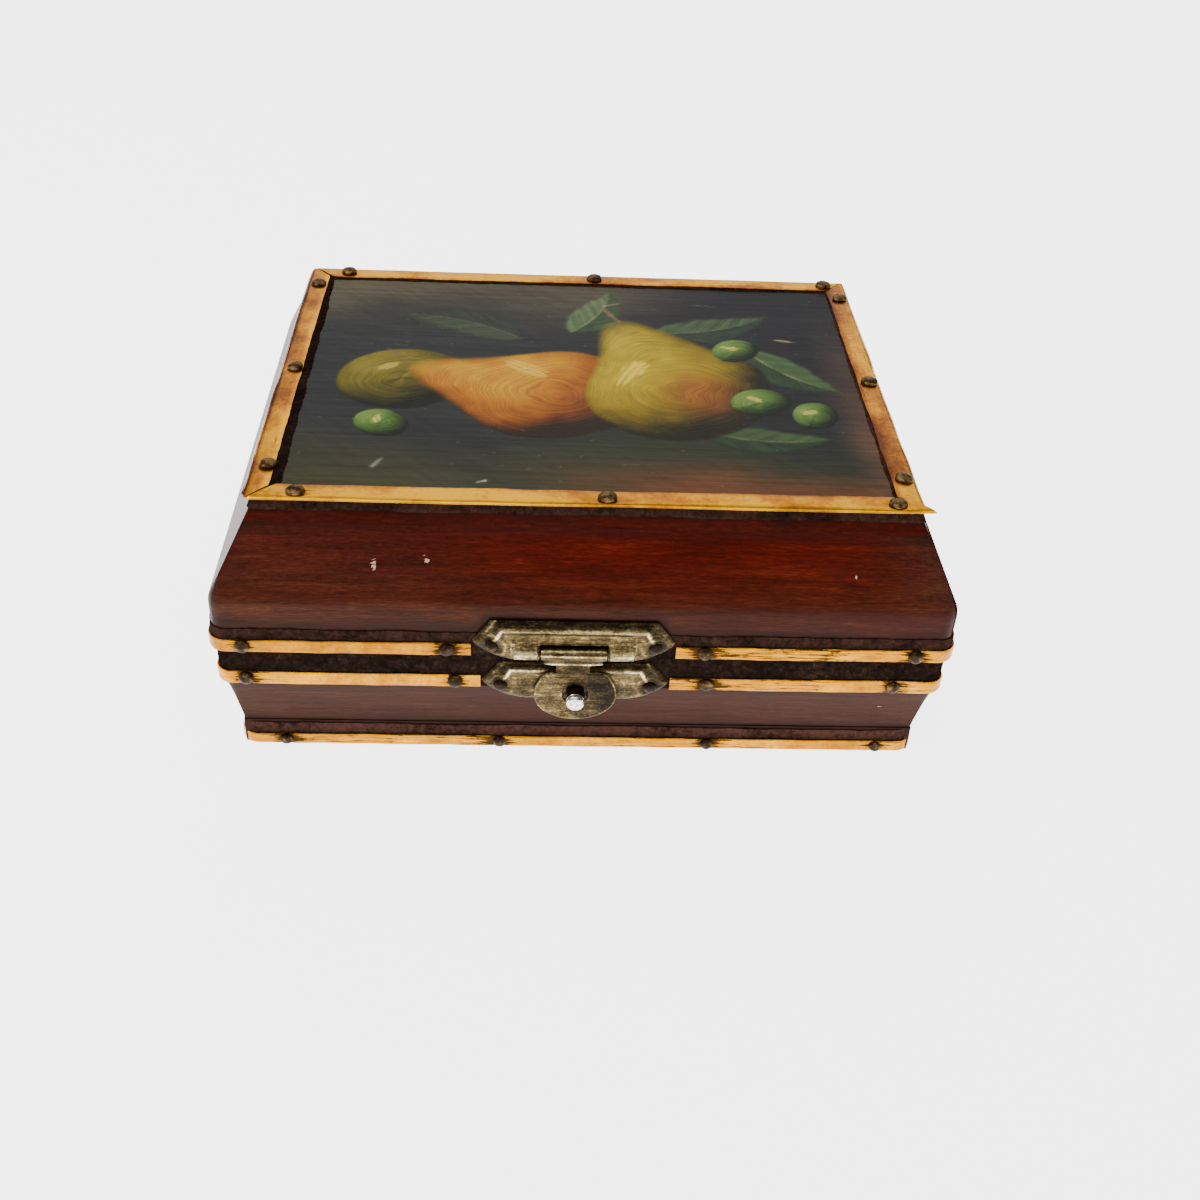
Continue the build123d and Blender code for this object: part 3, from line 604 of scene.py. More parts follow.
# %% Make the boards of the base
wall_bottom_inset = 3.05 * mm
wall_top_inset = 0.15 * mm
cove = 0.5
ledge = 0.02 * mm
tray_inset = rim_half_width - tray_half_width
up = np.linspace(0, 1, 9)
swell = up + cove * up * (up - 1)
wall_insets = wall_bottom_inset + (wall_top_inset - wall_bottom_inset) * swell
wall_heights = foot_top + (rim_foot - foot_top) * up
base_section = np.vstack(
    [
        bow((tray_inset, 0), (foot_inset, 0), (foot_inset, foot_top), 0.5 * mm, 5),
        np.array([[foot_inset, foot_top - ledge]]),
        np.stack([wall_insets, wall_heights], axis=1),
        np.array([[0.0, rim_foot + ledge]]),
        bow((0.0, rim_foot), (0.0, base_top), (tray_inset, base_top), 0.5 * mm, 5),
        bow((0.0, base_top), (tray_inset, base_top), (tray_inset, 0), 0.6 * mm, 5),
        np.array([[tray_inset, 0.1 * mm]]),
    ]
)


def base_painted_warmth(share, height):
    """Grey brown all over, the dull tones that paint a pale sheen on the upright wall, a little warmer in the
    middle of the wall.
    """
    return clamp(0.03 + 0.05 * (1 - share))


def base_grime_and_shade(share, height):
    """Painted shade under the rim, and darker above the foot and at the corners."""
    under = bell(height - rim_foot, 1.6 * mm)
    over = bell(height - foot_top, 1.2 * mm)
    return clamp(under * 0.9 + over * 0.8 + 0.5 * share**40)


for side in side_names:
    board("base", base_rim, side, base_section, base_painted_warmth, base_grime_and_shade, base_wood)


# %% [markdown]
# The top board lies between the slopes. Only its rim shows at the edge of the picture, but the slope of the
# lid goes on over it, so its edge follows the roof. One profile carried once round closes it.

# %% Make the top board
side_foot = (inset_at(shoulder), shoulder)
side_head = (inset_at(roof_top), roof_top)
side_rise = bow(side_foot, side_head, (side_head[0] + 5 * mm, roof_top), 0.3 * mm, 4)
inner = np.array([2.0 * mm, 0.0])
under_side = [side_foot + inner, side_foot + 0.01 * inner, side_foot]
top_section = np.vstack([*under_side, side_rise, side_head + inner])
ring = np.linspace(0, lid_rim.length, 400, endpoint=False)
top_grid = lid_rim.points(ring, top_section[None, :, 0], top_section[None, :, 1]).transpose(1, 0, 2)
top_uv = np.stack(np.broadcast_arrays(ring[None, :], top_section[:, 1:] - top_section[:, :1]), axis=-1)
top_uv[:2] = top_grid[:2, :, :2]
top_painted_warmth = np.where(np.arange(len(top_section)) < 2, 0.3, 0.97)[:, None]
top_marks = {"warmth": top_painted_warmth, "grime": 0.5, "scuffed": 0.0}
lid_top = skin("lid_top_wood", top_grid, uv=top_uv, marks=top_marks)
finish_piece(lid_top, "lid", "lid_top_board", lid_wood)


# %% [markdown]
# ## Where the nails are
# Every nail of the box is a solid in the CAD model. Their places are read back from it: the vertices of a
# nail node fall into clumps, and each clump is a nail, whose head faces out or up.

# %% Read the nails from the frame
head_share = 0.3
clump_reach = 5.0 * mm


class Nails:
    """Places of the nails of one CAD node: side, middle of the head's underside, diameter, place along."""

    def __init__(self, node, upward=False):
        loose = np.array([vertex.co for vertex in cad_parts[node].data.vertices])
        reach = np.abs(loose).max(axis=0)[:2] if upward else np.array([half_width, half_depth])
        sides, seats, normals = [], [], []
        while len(loose):
            mine = np.linalg.norm(loose - loose[0], axis=1) < clump_reach
            low, high = loose[mine].min(axis=0), loose[mine].max(axis=0)
            loose = loose[~mine]
            middle = (low + high) / 2
            share = middle[:2] / reach
            side = int(np.argmax(outward @ share))
            normal = np.array([0.0, 0.0, 1.0]) if upward else np.append(outward[side], 0.0)
            self.diameter = (high - low)[0] if upward else (high - low)[2]
            face = max(normal @ low, normal @ high) - head_share * self.diameter
            sides.append(side)
            seats.append(middle + normal * (face - normal @ middle))
            normals.append(normal)
        self.side = np.array(sides)
        self.centre = np.array(seats)
        self.normal = np.array(normals)
        self.along = np.sum(self.centre[:, :2] * forward[self.side], axis=1)

    def distances(self, rim):
        """Distance of each nail along a rim."""
        return rim.starts[self.side] + rim.lengths[self.side] / 2 + self.along


nails = {node: Nails(node, node == "lid_top_nails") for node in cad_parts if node.endswith("_nails")}
for node, group in nails.items():
    print(node, "has", len(group.side), "nails, on the sides", group.side)


def nearness(distance, height, group, rim, radius):
    """1 at a nail and falling off as exp(-(r/radius)^2), over a band's distances and heights."""
    gap = distance[:, None, None] - group.distances(rim)
    gap = (gap + rim.length / 2) % rim.length - rim.length / 2
    rise = np.broadcast_to(height, (len(distance), np.shape(height)[-1]))[..., None] - group.centre[:, 2]
    return np.exp(-(gap**2 + rise**2) / radius**2).max(axis=-1)


# %% [markdown]
# ## Binding tape
# The edges of the box are bound in a dark leathery tape, glued on and nailed under the brass. It could be
# cloth, but it is stiff with glue, so it is a solid band. Its edge is ragged and its face is wrinkled: its
# height wavers along the path and its face swells a little.

# %% Make the tape's finish
def leathery_tape():
    """Cloudy noise at three scales makes the wrinkled leather; rubbed high spots are browner."""
    tape = Finish("leathery_tape")
    spot = tape.place()
    wrinkles = tape.noise(spot, 900.0, 5.0, 0.65, 0.4)
    clouds = tape.noise(spot, 120.0, 3.0, 0.5)
    fuzz = tape.noise(spot, 3200.0, 2.0, 0.6)
    colour = tape.shades(
        wrinkles * 0.55 + clouds * 0.3 + fuzz * 0.15,
        [(0.36, 13, 9, 7), (0.5, 26, 18, 14), (0.6, 42, 30, 24), (0.72, 84, 62, 50)],
    )
    rubbed = tape.mark("browned") * tape.above(wrinkles * 0.6 + clouds * 0.4, 0.30, 0.62)
    colour = tape.blend(colour, tone(72, 46, 38), rubbed)
    bump = tape.rough_up(wrinkles * 0.7 + fuzz * 0.3, 0.00018, 0.7)
    return tape.wear(Base_Color=colour, Roughness=0.5 + fuzz * 0.25, Normal=bump, Specular_IOR_Level=0.0)


tape_finish = leathery_tape()


# %% [markdown]
# Tape and straps are both bands on a rim: a wide outer face whose edges round off, and a flat back. A
# rectangle swept along a curve would do for a straight band, but here each row has its own height and
# relief, so the band is worked out as one grid.

# %% Carry a band along a rim
edge_round = 0.16 * mm


def band(rim, distance, low, high, inner, outer, relief):
    """Grid of a band: up its outer face, which rounds off at both edges as |2f - 1|^7, and down its back.
    The relief sinks the face and has a column for each of its rows."""
    face = np.linspace(0, 1, relief.shape[1])
    sink = edge_round * np.abs(2 * face - 1) ** 7
    low = np.broadcast_to(low, distance.shape)[:, None]
    high = np.broadcast_to(high, distance.shape)[:, None]
    heights = low + (high - low) * face
    insets = np.broadcast_to(sink - outer, heights.shape) + relief
    heights = np.concatenate([heights, high, low], axis=1)
    back = np.full((len(distance), 2), -inner)
    return rim.points(distance, np.concatenate([insets, back], axis=1), heights)


def with_back(mark):
    """A mark on the face, with two columns of 0 for the back."""
    return np.pad(mark, [(0, 0), (0, 2)])


def whole(rim, step):
    """Distances once round a rim."""
    return np.linspace(0, rim.length, int(rim.length / step), endpoint=False)


def tape_ring(name, rim, low, high, seed, node, body, short=0.25 * mm, browned=0.0):
    """Tape once round a rim: its upper edge wavers on two scales and its face puckers."""
    distance = whole(rim, 0.4 * mm)
    rows = 11
    ragged = ripple(distance, seed, (0.16, 7), (0.09, 0.9), around=rim.length)
    rise = np.linspace(0, high - low, rows)
    pucker = mottle(*np.meshgrid(distance, rise, indexing="ij"), 1.8 * mm, 1.3 * mm, seed + 3)
    pucker[-1] = pucker[0]
    top = high - short + ragged
    grid = band(rim, distance, low, top, -0.05 * mm, 0.47 * mm, pucker * 0.12 * mm)
    upper = clamp(np.linspace(0, 1.6, rows) - 0.6)
    upper = np.concatenate([upper, [1.0, 0.0]]) * browned
    piece = skin(name, grid, closed=True, marks={"browned": upper})
    return finish_piece(piece, body, node, tape_finish)


tape_ring("lid_rim_binding", lid_rim, lid_foot, lid_tape_top, 11, "lid_rim_tape", "lid", 0.75 * mm, 0.4)
tape_ring("base_rim_binding", base_rim, rim_foot, base_top, 21, "base_rim_tape", "base")
foot_rim = Rim(rim_half_width - foot_inset, rim_half_depth - foot_inset, base_radius)
tape_ring("foot_binding", foot_rim, foot_low, foot_top, 31, "base_foot_tape", "base", 0.6 * mm, 1.15)


# %% [markdown]
# ## Brass straps
# Thin brass covers the tape along every edge. It was bright once and is polished by use, with brown patches
# round the nails and dark scratches along it. A plain metal shader would look new, so noise drawn out along
# the strap mixes the tones, and the marks of nails and wear say where the dark ones gather.

# %% Make the brass
def worn_brass(name, stops, dark, scratch_amount, fineness, patina, nail_stain):
    """Brass with scratches along its length, brown patches round nails and slow clouds of patina."""
    brass = Finish(name)
    lengths = brass.lengths()
    scratches = brass.grain(120.0, 2700.0, 5.0, 0.7, 0.5)
    hair = brass.grain(110.0, 4600.0, 3.0, 0.6)
    clouds = brass.noise(lengths, 170.0, 4.0, 0.6, 0.3)
    slow = brass.grain(55.0, 130.0, 3.0, 0.5, 0.4)
    spots = brass.noise(lengths, 900.0, 3.0, 0.65)
    near_nail = brass.mark("nail")
    worn = brass.mark("worn")
    spotty = 0.15 + 0.4 * fineness
    tones = clouds * (1 - fineness - patina - spotty) + slow * patina + hair * fineness + spots * spotty
    # The polish-and-highlight mark lifts or lowers the tone: a brighter or darker strap on the rims, and
    # across the top straps also a painted highlight on the rolled edge and painted shade
    colour = brass.shades(tones + brass.mark("polish") * 0.12 + worn * 0.08 - 0.04, stops)
    stain = scratches * 0.66 + clouds * 0.16 + spots * 0.18 + near_nail * nail_stain + worn * scratch_amount
    stained = brass.above(stain, 0.63, 0.68)
    colour = brass.blend(colour, dark, stained * 0.94)
    colour = brass.blend(colour, dark, near_nail * near_nail * clouds * 0.5)
    pits = brass.above(brass.noise(lengths, 1500.0, 2.0, 0.5), 0.72, 0.78)
    colour = brass.blend(colour, dark, pits * 0.6)
    bump = brass.rough_up(hair * 0.3 + clouds * 0.5 + slow * 0.8 - stained * 0.35 - pits * 0.3, 0.00012, 0.5)
    return brass.wear(
        Base_Color=colour,
        Metallic=0.98,
        Roughness=0.22 + hair * 0.1 + slow * 0.14 + stained * 0.2,
        Normal=bump,
        Specular_IOR_Level=0.1,
    )


rim_brass = worn_brass(
    "rim_brass", [(0.34, 110, 62, 0), (0.46, 146, 92, 0), (0.55, 176, 114, 0), (0.66, 214, 146, 0)],
    tone(24, 14, 6), scratch_amount=0.14, fineness=0.25, patina=0.1, nail_stain=0.16,
)
top_brass = worn_brass(
    "top_brass", [(0.33, 92, 42, 0), (0.42, 140, 76, 0), (0.51, 196, 120, 0), (0.61, 246, 176, 0)],
    tone(58, 31, 8), scratch_amount=0.05, fineness=0.10, patina=0.42, nail_stain=0.06,
)


# %% [markdown]
# Between the nails the straps lie in shallow buckles, and each nail has pressed a dent. On both rims the
# strap comes in three lengths, which stop at the latch and at the hinges. Round the foot it is closed.

# %% Lay the straps round the rims and the foot
strap_rows = 13
strap_step = 0.4 * mm


def rim_strap(name, rim, ends, low, high, group, seed, node, body, polish, wear_line=None):
    """A strap between two distances, or all round, with dents at its nails and buckles between them."""
    if ends:
        distance = np.linspace(*ends, int((ends[1] - ends[0]) / strap_step))
    else:
        distance = whole(rim, strap_step)
    around = rim.length
    face = np.linspace(0, 1, strap_rows)
    height = low + (high - low) * face
    dent = nearness(distance, height, group, rim, 1.9 * mm)
    halo = nearness(distance, height, group, rim, 2.6 * mm)
    buckle = waver(distance, 9 * mm, seed, around)[:, None] * 0.05 * mm * np.sin(np.pi * face)
    hollow = 0.10 * mm * np.sin(np.pi * face) ** 2
    lower = low + 0.07 * mm + 0.07 * mm * waver(distance, 5 * mm, seed + 1, around)
    upper = high - 0.1 * mm + 0.10 * mm * waver(distance, 4 * mm, seed + 2, around)
    relief = dent * 0.13 * mm + buckle + hollow * 0.6
    grid = band(rim, distance, lower, upper, 0.45 * mm, 0.85 * mm, relief)
    worn = 0.5 + 0.5 * waver(distance, 16 * mm, seed + 3, around)
    if wear_line:
        worn = worn * 0.6 + wear_line(distance)
    marks = {"nail": with_back(halo), "worn": clamp(worn)[:, None], "polish": polish}
    piece = skin(name, grid, closed=not ends, marks=marks)
    return finish_piece(piece, body, node, rim_brass)


# %% Cut the straps to length
def more_to_the_right(distance):
    """Wear that gathers at the latch and grows again towards the front right corner."""
    distance = distance % lid_rim.length
    latch = 0.45 * bell(distance - 72 * mm, 26 * mm)
    return latch + 0.5 * bell(distance - 115 * mm, 34 * mm)


def rim_lengths(title, rim, body, seed, left_polish_and_highlight, right_polish_and_highlight):
    """The three lengths of a rim's strap, which stop at the latch and at the hinges."""
    low, high = span(f"{title}_strap_left")
    right_of_latch = span(f"{title}_strap_right")[0][0]
    back_low, back_high = span(f"{title}_strap_back")
    hinge = span("left_hinge_lid_leaf")[0][0] - 0.3 * mm
    lengths = {
        "left": (rim.on("back", -hinge), rim.on("front", high[0]) + rim.length, seed, left_polish_and_highlight),
        "right": (rim.on("front", right_of_latch), rim.on("back", hinge), seed + 5, right_polish_and_highlight),
        "back": (rim.on("back", -back_high[0]), rim.on("back", -back_low[0]), seed + 9, left_polish_and_highlight),
    }
    group = nails[f"{title}_nails"]
    for part, (*ends, part_seed, polish) in lengths.items():
        node = f"{title}_strap_{part}"
        rim_strap(
            f"{node}_brass", rim, ends, low[2], high[2], group, part_seed, node, body, polish,
            wear_line=more_to_the_right,
        )


rim_lengths("lid_rim", lid_rim, "lid", 41, 0.0, 0.3)
rim_lengths("base_rim", base_rim, "base", 61, 0.6, 0.3)
low, high = (corner[2] for corner in span("base_foot_strap"))
foot_nails = nails["base_foot_nails"]
rim_strap("foot_brass", foot_rim, None, low, high, foot_nails, 81, "base_foot_strap", "base", 0.25)


# %% [markdown]
# ## The top edge: tape and four mitred straps
# Round the flat top the tape is folded over the edge, one leg on the top and one down the slope. Each side
# shows a strip of its own width, so the fold is one grid whose columns are drawn in by side, and its legs
# follow the roof and the top. The strip on the right side is the brownest.

# %% Fold the tape over the top edge
strap_front = span("lid_top_strap_front")
frame_half_width = span("lid_top_strap_right")[1][0]
frame_half_depth = -strap_front[0][1]
strap_top = strap_front[1][2]
tape_top = span("lid_top_tape")[1][2]
slope_foot = span("lid_top_tape")[0][2]
top_rim = Rim(frame_half_width, frame_half_depth, 1.2 * mm)
window_inset = frame_half_width - span("lid_picture_panel")[1][0]
down, over = 9, 15
last = down + over - 1
showing = {"front": 0.62, "right": 0.82, "back": 0.84, "left": 0.86}
brownness = {"front": 0.3, "right": 0.9, "back": 0.45, "left": 0.12}

distance = whole(top_rim, 0.35 * mm)
on_slope = np.linspace(slope_foot + 0.2 * mm, tape_top - 0.5 * mm, down)
slope_face = frame_half_width - (half_width - inset_at(on_slope)) - 0.50 * mm
on_top = np.linspace(1.6 * mm, window_inset - 0.2 * mm, over)
sunk, foot = roof_top - 0.05 * mm, slope_foot + 0.2 * mm
heights = np.concatenate([on_slope, np.full(over, tape_top), [sunk, sunk, foot]])
insets = np.concatenate([slope_face, on_top, on_top[[-1, 0]], slope_face[:1] + 0.6 * mm])
heights = np.tile(heights, (len(distance), 1))
insets = np.tile(insets, (len(distance), 1))

side_at = np.clip(np.searchsorted(top_rim.starts, distance, side="right") - 1, 0, 3)
show = np.array([showing[side] for side in side_names])[side_at]
show = np.convolve(np.concatenate([show[-4:], show, show[:4]]), np.ones(9) / 9, mode="valid")
insets[:, down : last + 2] *= show[:, None]

columns = np.arange(down + over) * 0.5 * mm
fold = mottle(*np.meshgrid(distance, columns, indexing="ij"), 1.9 * mm, 1.2 * mm, 105)
heights[:, down : last + 1] -= fold[:, down:] * 0.14 * mm
heights[:, down : last + 1] -= 0.12 * mm * np.linspace(0, 1, over) ** 10
insets[:, :down] += fold[:, :down] * 0.1 * mm
ragged_in = ripple(distance, 101, (0.22, 5), (0.12, 1.1), around=top_rim.length)
insets[:, last : last + 2] += ragged_in[:, None]
insets[:, last - 1] += ragged_in * 0.7
heights[:, [0, -1]] += ripple(distance, 103, (0.15, 6), (0.08, 0.9), around=top_rim.length)[:, None]
brown = np.array([brownness[side] for side in side_names])[side_at][:, None]
fold_grid = top_rim.points(distance, insets, heights)
folded = skin("top_edge_binding", fold_grid, closed=True, marks={"browned": brown})
finish_piece(folded, "lid", "lid_top_tape", tape_finish)


# %% [markdown]
# The brass over the fold is thicker, with its outer edge rolled down, and is cut at 45 degrees at the
# corners. It has come loose a little: the front strap stands out past the right corner, the corner at the
# back left is clipped, and the left strap leans out. A mitre falls out of the formula, because each line of
# the section ends as far from the corner as it lies from the edge.

# %% Work out the section of a top strap
strap_width = strap_front[1][1] - strap_front[0][1]
strap_sheet = 0.45 * mm
roll_width = 1.5 * mm
flat_rows, roll_rows = 13, 9
strap_steps = 181


def rolled_section(share, drop):
    """Insets, and heights along the strap: flat, rolled down as drop (1 - cos) at the outer edge, and back
    one sheet lower. The drop runs from the start over the middle to the end."""
    turn = np.linspace(0, np.pi / 2, roll_rows)
    outer_face = [np.linspace(strap_width, roll_width, flat_rows), roll_width * (1 - np.sin(turn))]
    inset = np.concatenate([*outer_face, [strap_sheet, strap_sheet, roll_width, strap_width]])
    fall = np.interp(share, [-1, -0.85, 0.85, 1], np.array(drop)[[0, 1, 1, 2]])[:, None]
    under = strap_top - strap_sheet
    flat = np.full((len(share), flat_rows), strap_top)
    rolled = strap_top - fall * (1 - np.cos(turn))
    lip = strap_top - fall
    inner_lip = np.maximum(lip, under - strap_sheet)
    return inset, np.concatenate([flat, rolled, lip, inner_lip, np.full((len(share), 2), under)], axis=1)


print("strap width, mm:", round(strap_width / mm, 2))


# %% Roll and mitre the top straps
def top_strap(side, seed, overhang, rounds, gaps, drop, polish, lean=(0.0, 0.0), stretch=(1.0, 1.0)):
    """A strap carried along one side. Lengths are in mm, the first for its start and the last for its end.

    A section point at inset d reaches run - d along it, so its ends are mitres. The tip stands out by the
    overhang, the outer corner is pulled onto an ellipse (the round's radius across, stretched along), and the
    mitre opens towards the inner edge by the gap. The strap leans out, and its outer edge drops."""
    lengths = (overhang, rounds, gaps, drop, lean)
    overhang, rounds, gaps, drop, lean = (np.array(item) * mm for item in lengths)
    number = side_names.index(side)
    reach, run = top_rim.reaches[number], top_rim.runs[number]
    share = np.sin(np.linspace(-np.pi / 2, np.pi / 2, strap_steps))

    def by_end(pair):
        return np.where(share > 0, pair[1], pair[0])[:, None]

    inset, height = rolled_section(share, drop)
    out = (lean[0] + (lean[1] - lean[0]) * (share + 1) / 2)[:, None]
    opening = by_end(gaps) * (inset / strap_width) ** 1.3
    tip = by_end(overhang) * np.abs(share[:, None]) ** 30
    along = share[:, None] * (run - np.maximum(inset - out, 0) - 0.10 * mm - opening)
    along = along + np.sign(share)[:, None] * tip
    place = along[:, 0]

    # Dents at the nails, buckles between them and a slight crown, on the upper side only
    group = nails["lid_top_nails"]
    mine = group.side == number
    gap = along[..., None] - group.along[mine]
    spread = (reach + out - inset)[..., None] - np.abs(group.centre[mine][:, :2] @ outward[number])
    dent = np.exp(-(gap**2 + spread**2) / (2.4 * mm) ** 2).max(axis=-1)
    halo = np.exp(-(gap**2 + spread**2) / (3.0 * mm) ** 2).max(axis=-1)
    crown = 0.16 * mm * np.sin(np.pi * clamp(inset / strap_width)) ** 0.7
    buckle = (0.09 * mm * waver(place, 11 * mm, seed) + 0.03 * mm * waver(place, 3.7 * mm, seed + 7))[:, None]
    upper_side = clamp((flat_rows + 4 - np.arange(len(inset))) / 4)
    heights = height + (buckle - 0.07 * mm - dent * 0.2 * mm + crown - 0.16 * mm) * upper_side + 0.12 * tip

    # A wavering inner edge, and a rolled edge that isn't quite straight
    wave = ripple(place, seed + 1, (0.14, 6), (0.05, 1.6))
    insets = np.tile(inset, (strap_steps, 1))
    insets[:, [0, -1]] += (wave - 0.1 * mm)[:, None]
    insets[:, 1] += wave * 0.8
    rolled_rows = slice(flat_rows + 3, flat_rows + roll_rows + 2)
    insets[:, rolled_rows] += 0.12 * mm * (1 + waver(place, 8 * mm, seed + 3))[:, None]

    # The outer corners, pulled onto their ellipses
    across = reach + out - insets
    radius, long = by_end(rounds), by_end(stretch)
    beyond_x = across - (reach + out - radius)
    beyond_y = (np.abs(along) - run) / long + radius
    far = np.hypot(beyond_x, beyond_y)
    pull = np.where((beyond_x > 0) & (beyond_y > 0) & (far > radius), radius / np.maximum(far, 1e-9), 1.0)
    across = np.where(pull < 1, reach + out - radius + beyond_x * pull, across)
    along = np.where(pull < 1, np.sign(along) * (run + (beyond_y * pull - radius) * long), along)

    flat = outward[number] * across[..., None] + forward[number] * along[..., None]
    grid = np.concatenate([flat, heights[..., None]], axis=-1)
    worn = 0.5 + 0.5 * waver(place, 18 * mm, seed + 4)[:, None]
    # Polish and painted light across the strap, side by side: the inner edge, the middle and the rolled outer
    # edge are each made brighter or darker, such as the painted highlight on the front strap's rolled edge
    # and the dark inner edge of the right strap
    shine = np.interp(np.arange(len(inset)), [0, 4.5, 11, 15], np.array(polish)[[0, 1, 1, 2]])
    marks = {"nail": halo, "worn": worn, "polish": shine[None, :]}
    uv = np.stack(np.broadcast_arrays(along + 0.2 * number, reach - across), axis=-1)
    piece = skin(f"top_brass_{side}", grid, uv=uv, marks=marks)
    return finish_piece(piece, "lid", f"lid_top_strap_{side}", top_brass)


top_strap("front", 201, (0.0, 1.7), (1.5, 0.01), (0.1, 0.3), (0.6, 0.6, 0.6), polish=(0.0, 0.5, 0.7))
top_strap("right", 211, (0.0, 0.0), (0.6, 1.3), (0.35, 0.0), (0.6, 1.0, 1.3), polish=(-1.0, -0.1, 0.4))
top_strap("back", 221, (0.0, 0.0), (1.3, 4.0), (0.1, 0.3), (1.3, 1.3, 1.3), polish=(-0.1, 0.6, 0.2))
top_strap(
    "left", 231, (0.0, 0.0), (3.0, 3.0), (0.2, 0.8), (1.3, 1.3, 0.5), polish=(0.9, 0.1, -0.7),
    lean=(0.5, 1.4), stretch=(2.0, 1.2),
)


# %% [markdown]
# ## Nails
# The nails have low domed heads, dark with age, no two alike. Copies of one sphere would look made by a
# machine, so each head is a quarter circle turned round its shank, with its outline and its face knocked a
# little out of true. All heads of a group are one array, and one mesh.

# %% Make the nails
def dark_nail_finish(name, shift):
    """Dark bronze with rubbed high spots; the shift along the ramp darkens it."""
    metal = Finish(name)
    clouds = metal.noise(metal.place(), 800.0, 4.0, 0.6)
    colour = metal.shades(clouds - shift, [(0.35, 20, 13, 6), (0.52, 56, 38, 19), (0.68, 128, 98, 58)])
    bump = metal.rough_up(clouds, 0.00008, 0.4)
    rough = 0.38 + clouds * 0.2
    return metal.wear(Base_Color=colour, Metallic=0.7, Roughness=rough, Normal=bump, Specular_IOR_Level=0.15)


nail_finishes = {
    "top": dark_nail_finish("brown_nail_bronze", -0.10),
    "latch": dark_nail_finish("blackened_nail_bronze", 0.12),
    "rim": dark_nail_finish("dark_nail_bronze", 0.04),
}

# %% Raise the heads of the nails
head_edge = 0.15 * mm
crown_share = 0.25
sides, rings = 20, 8


def nail_heads(node, body, seed):
    """Domes over the nails of a node: radius R cos(a), rise R sin(a) times twice the crown's share."""
    group = nails[node]
    rng = np.random.default_rng(seed)
    count = len(group.side)
    radius = group.diameter / 2
    rise = 2 * crown_share * radius * (0.8 if "top" in node else 1.0)
    climb = np.linspace(0, 1.42, rings)
    reach = np.concatenate([[0.96, 1.0], np.cos(climb)]) * radius
    lift = np.concatenate([[-0.12 * mm, 0.0], head_edge * 0.8 + rise * np.sin(climb)])
    turn = np.linspace(0, 2 * np.pi, sides, endpoint=False)
    phase = rng.uniform(0, 2 * np.pi, (count, 1, 1))
    oval = 1 - 0.06 * rng.uniform(0, 1, (count, 1, 1)) * (1 + np.cos(2 * turn + phase))
    lobes = 1 - 0.03 * rng.uniform(0, 1, (count, 1, 1)) * (1 + np.cos(5 * turn + 3 * phase))
    knock = 1 + 0.05 * rng.uniform(-1, 0, (count, rings + 2, sides))
    tangent = np.concatenate([forward[group.side], np.zeros((count, 1))], axis=1)[:, None, None, :]
    normal = group.normal[:, None, None, :]
    other = np.cross(normal, tangent)
    flat = reach[:, None] * oval * lobes
    height = lift[:, None] * np.where(lift[:, None] > 0, knock, 1)
    tilt = rng.uniform(-0.05, 0.05, (count, 1, 1)) * flat * np.cos(turn) * (lift[:, None] > 0)
    points = (
        group.centre[:, None, None, :]
        + tangent * (flat * np.cos(turn))[..., None]
        + other * (flat * np.sin(turn))[..., None]
        + normal * (height + tilt)[..., None]
    )
    piece = skin(f"{node}_domed", points, flat_angle=60.0)
    finish = next((made for part, made in nail_finishes.items() if part in node), nail_finishes["rim"])
    return finish_piece(piece, body, node, finish)


nailed = (
    ("lid_top", "lid"), ("lid_rim", "lid"), ("base_rim", "base"), ("base_foot", "base"),
    ("latch_hasp_plate", "lid"), ("latch_catch_plate", "base"),
    ("hinge_lid_leaf", "lid"), ("hinge_base_leaf", "base"),
)
for number, (part, body) in enumerate(nailed):
    nail_heads(f"{part}_nails", body, 300 + number)


# %% [markdown]
# ## The latch
# The latch is stamped from thin bronze: a plate on the lid whose bevelled face folds over the hinge wire, a
# flatter plate on the base, and between them the hasp, curled round the wire and pierced for the pin. Its
# finish has painted highlights along the ridges, edges and curl and a rubbed edge on the disc, and painted
# shade on the upper bevels and on the disc's right, with dark nail dishes. No single colour could give this,
# so the plates store two marks, ridge for the painted highlights and hollow for the painted shade, that shift
# a noisy tone.

# %% Make the latch's finish
def stamped_bronze(name):
    """Dark bronze: the ridge mark, mostly painted highlight, and the hollow mark, mostly painted shade, shift
    a noisy tone, so the highlights break up into sparks.
    """
    bronze = Finish(name)
    spot = bronze.place((1.0, 1.0, 1.7))
    clouds = bronze.noise(spot, 300.0, 4.0, 0.6)
    grit = bronze.noise(spot, 1700.0, 5.0, 0.7)
    lines = bronze.noise(bronze.place((90.0, 90.0, 4200.0)), 1.0, 4.0, 0.65, 0.3)
    ridge = bronze.mark("ridge")
    hollow = bronze.mark("hollow")
    tones = clouds * 0.34 + grit * 0.42 + lines * 0.24 + ridge * 0.24 - hollow * 0.12
    dark = [(0.38, 16, 11, 6), (0.46, 44, 35, 20), (0.53, 76, 62, 37)]
    light = [(0.60, 118, 100, 62), (0.68, 194, 176, 128), (0.77, 253, 244, 212)]
    colour = bronze.shades(tones, dark + light)
    bump = bronze.rough_up(grit * 0.6 + lines * 0.4 + clouds * 0.5, 0.00014, 0.8)
    rough = 0.36 + grit * 0.16 - ridge * 0.1
    return bronze.wear(Base_Color=colour, Metallic=0.8, Roughness=rough, Normal=bump, Specular_IOR_Level=0.1)


latch_finish = stamped_bronze("stamped_bronze")


# %% [markdown]
# A plate is pressed from one sheet, so its face is a height over its outline: a bevel at the rim, a rounded
# roll inside it, a dip behind the roll and a dish round each nail. The lid's plate also folds over the wire
# at both ends. Sculpting would give the same forms, but a sum of curves keeps them crisp and even.

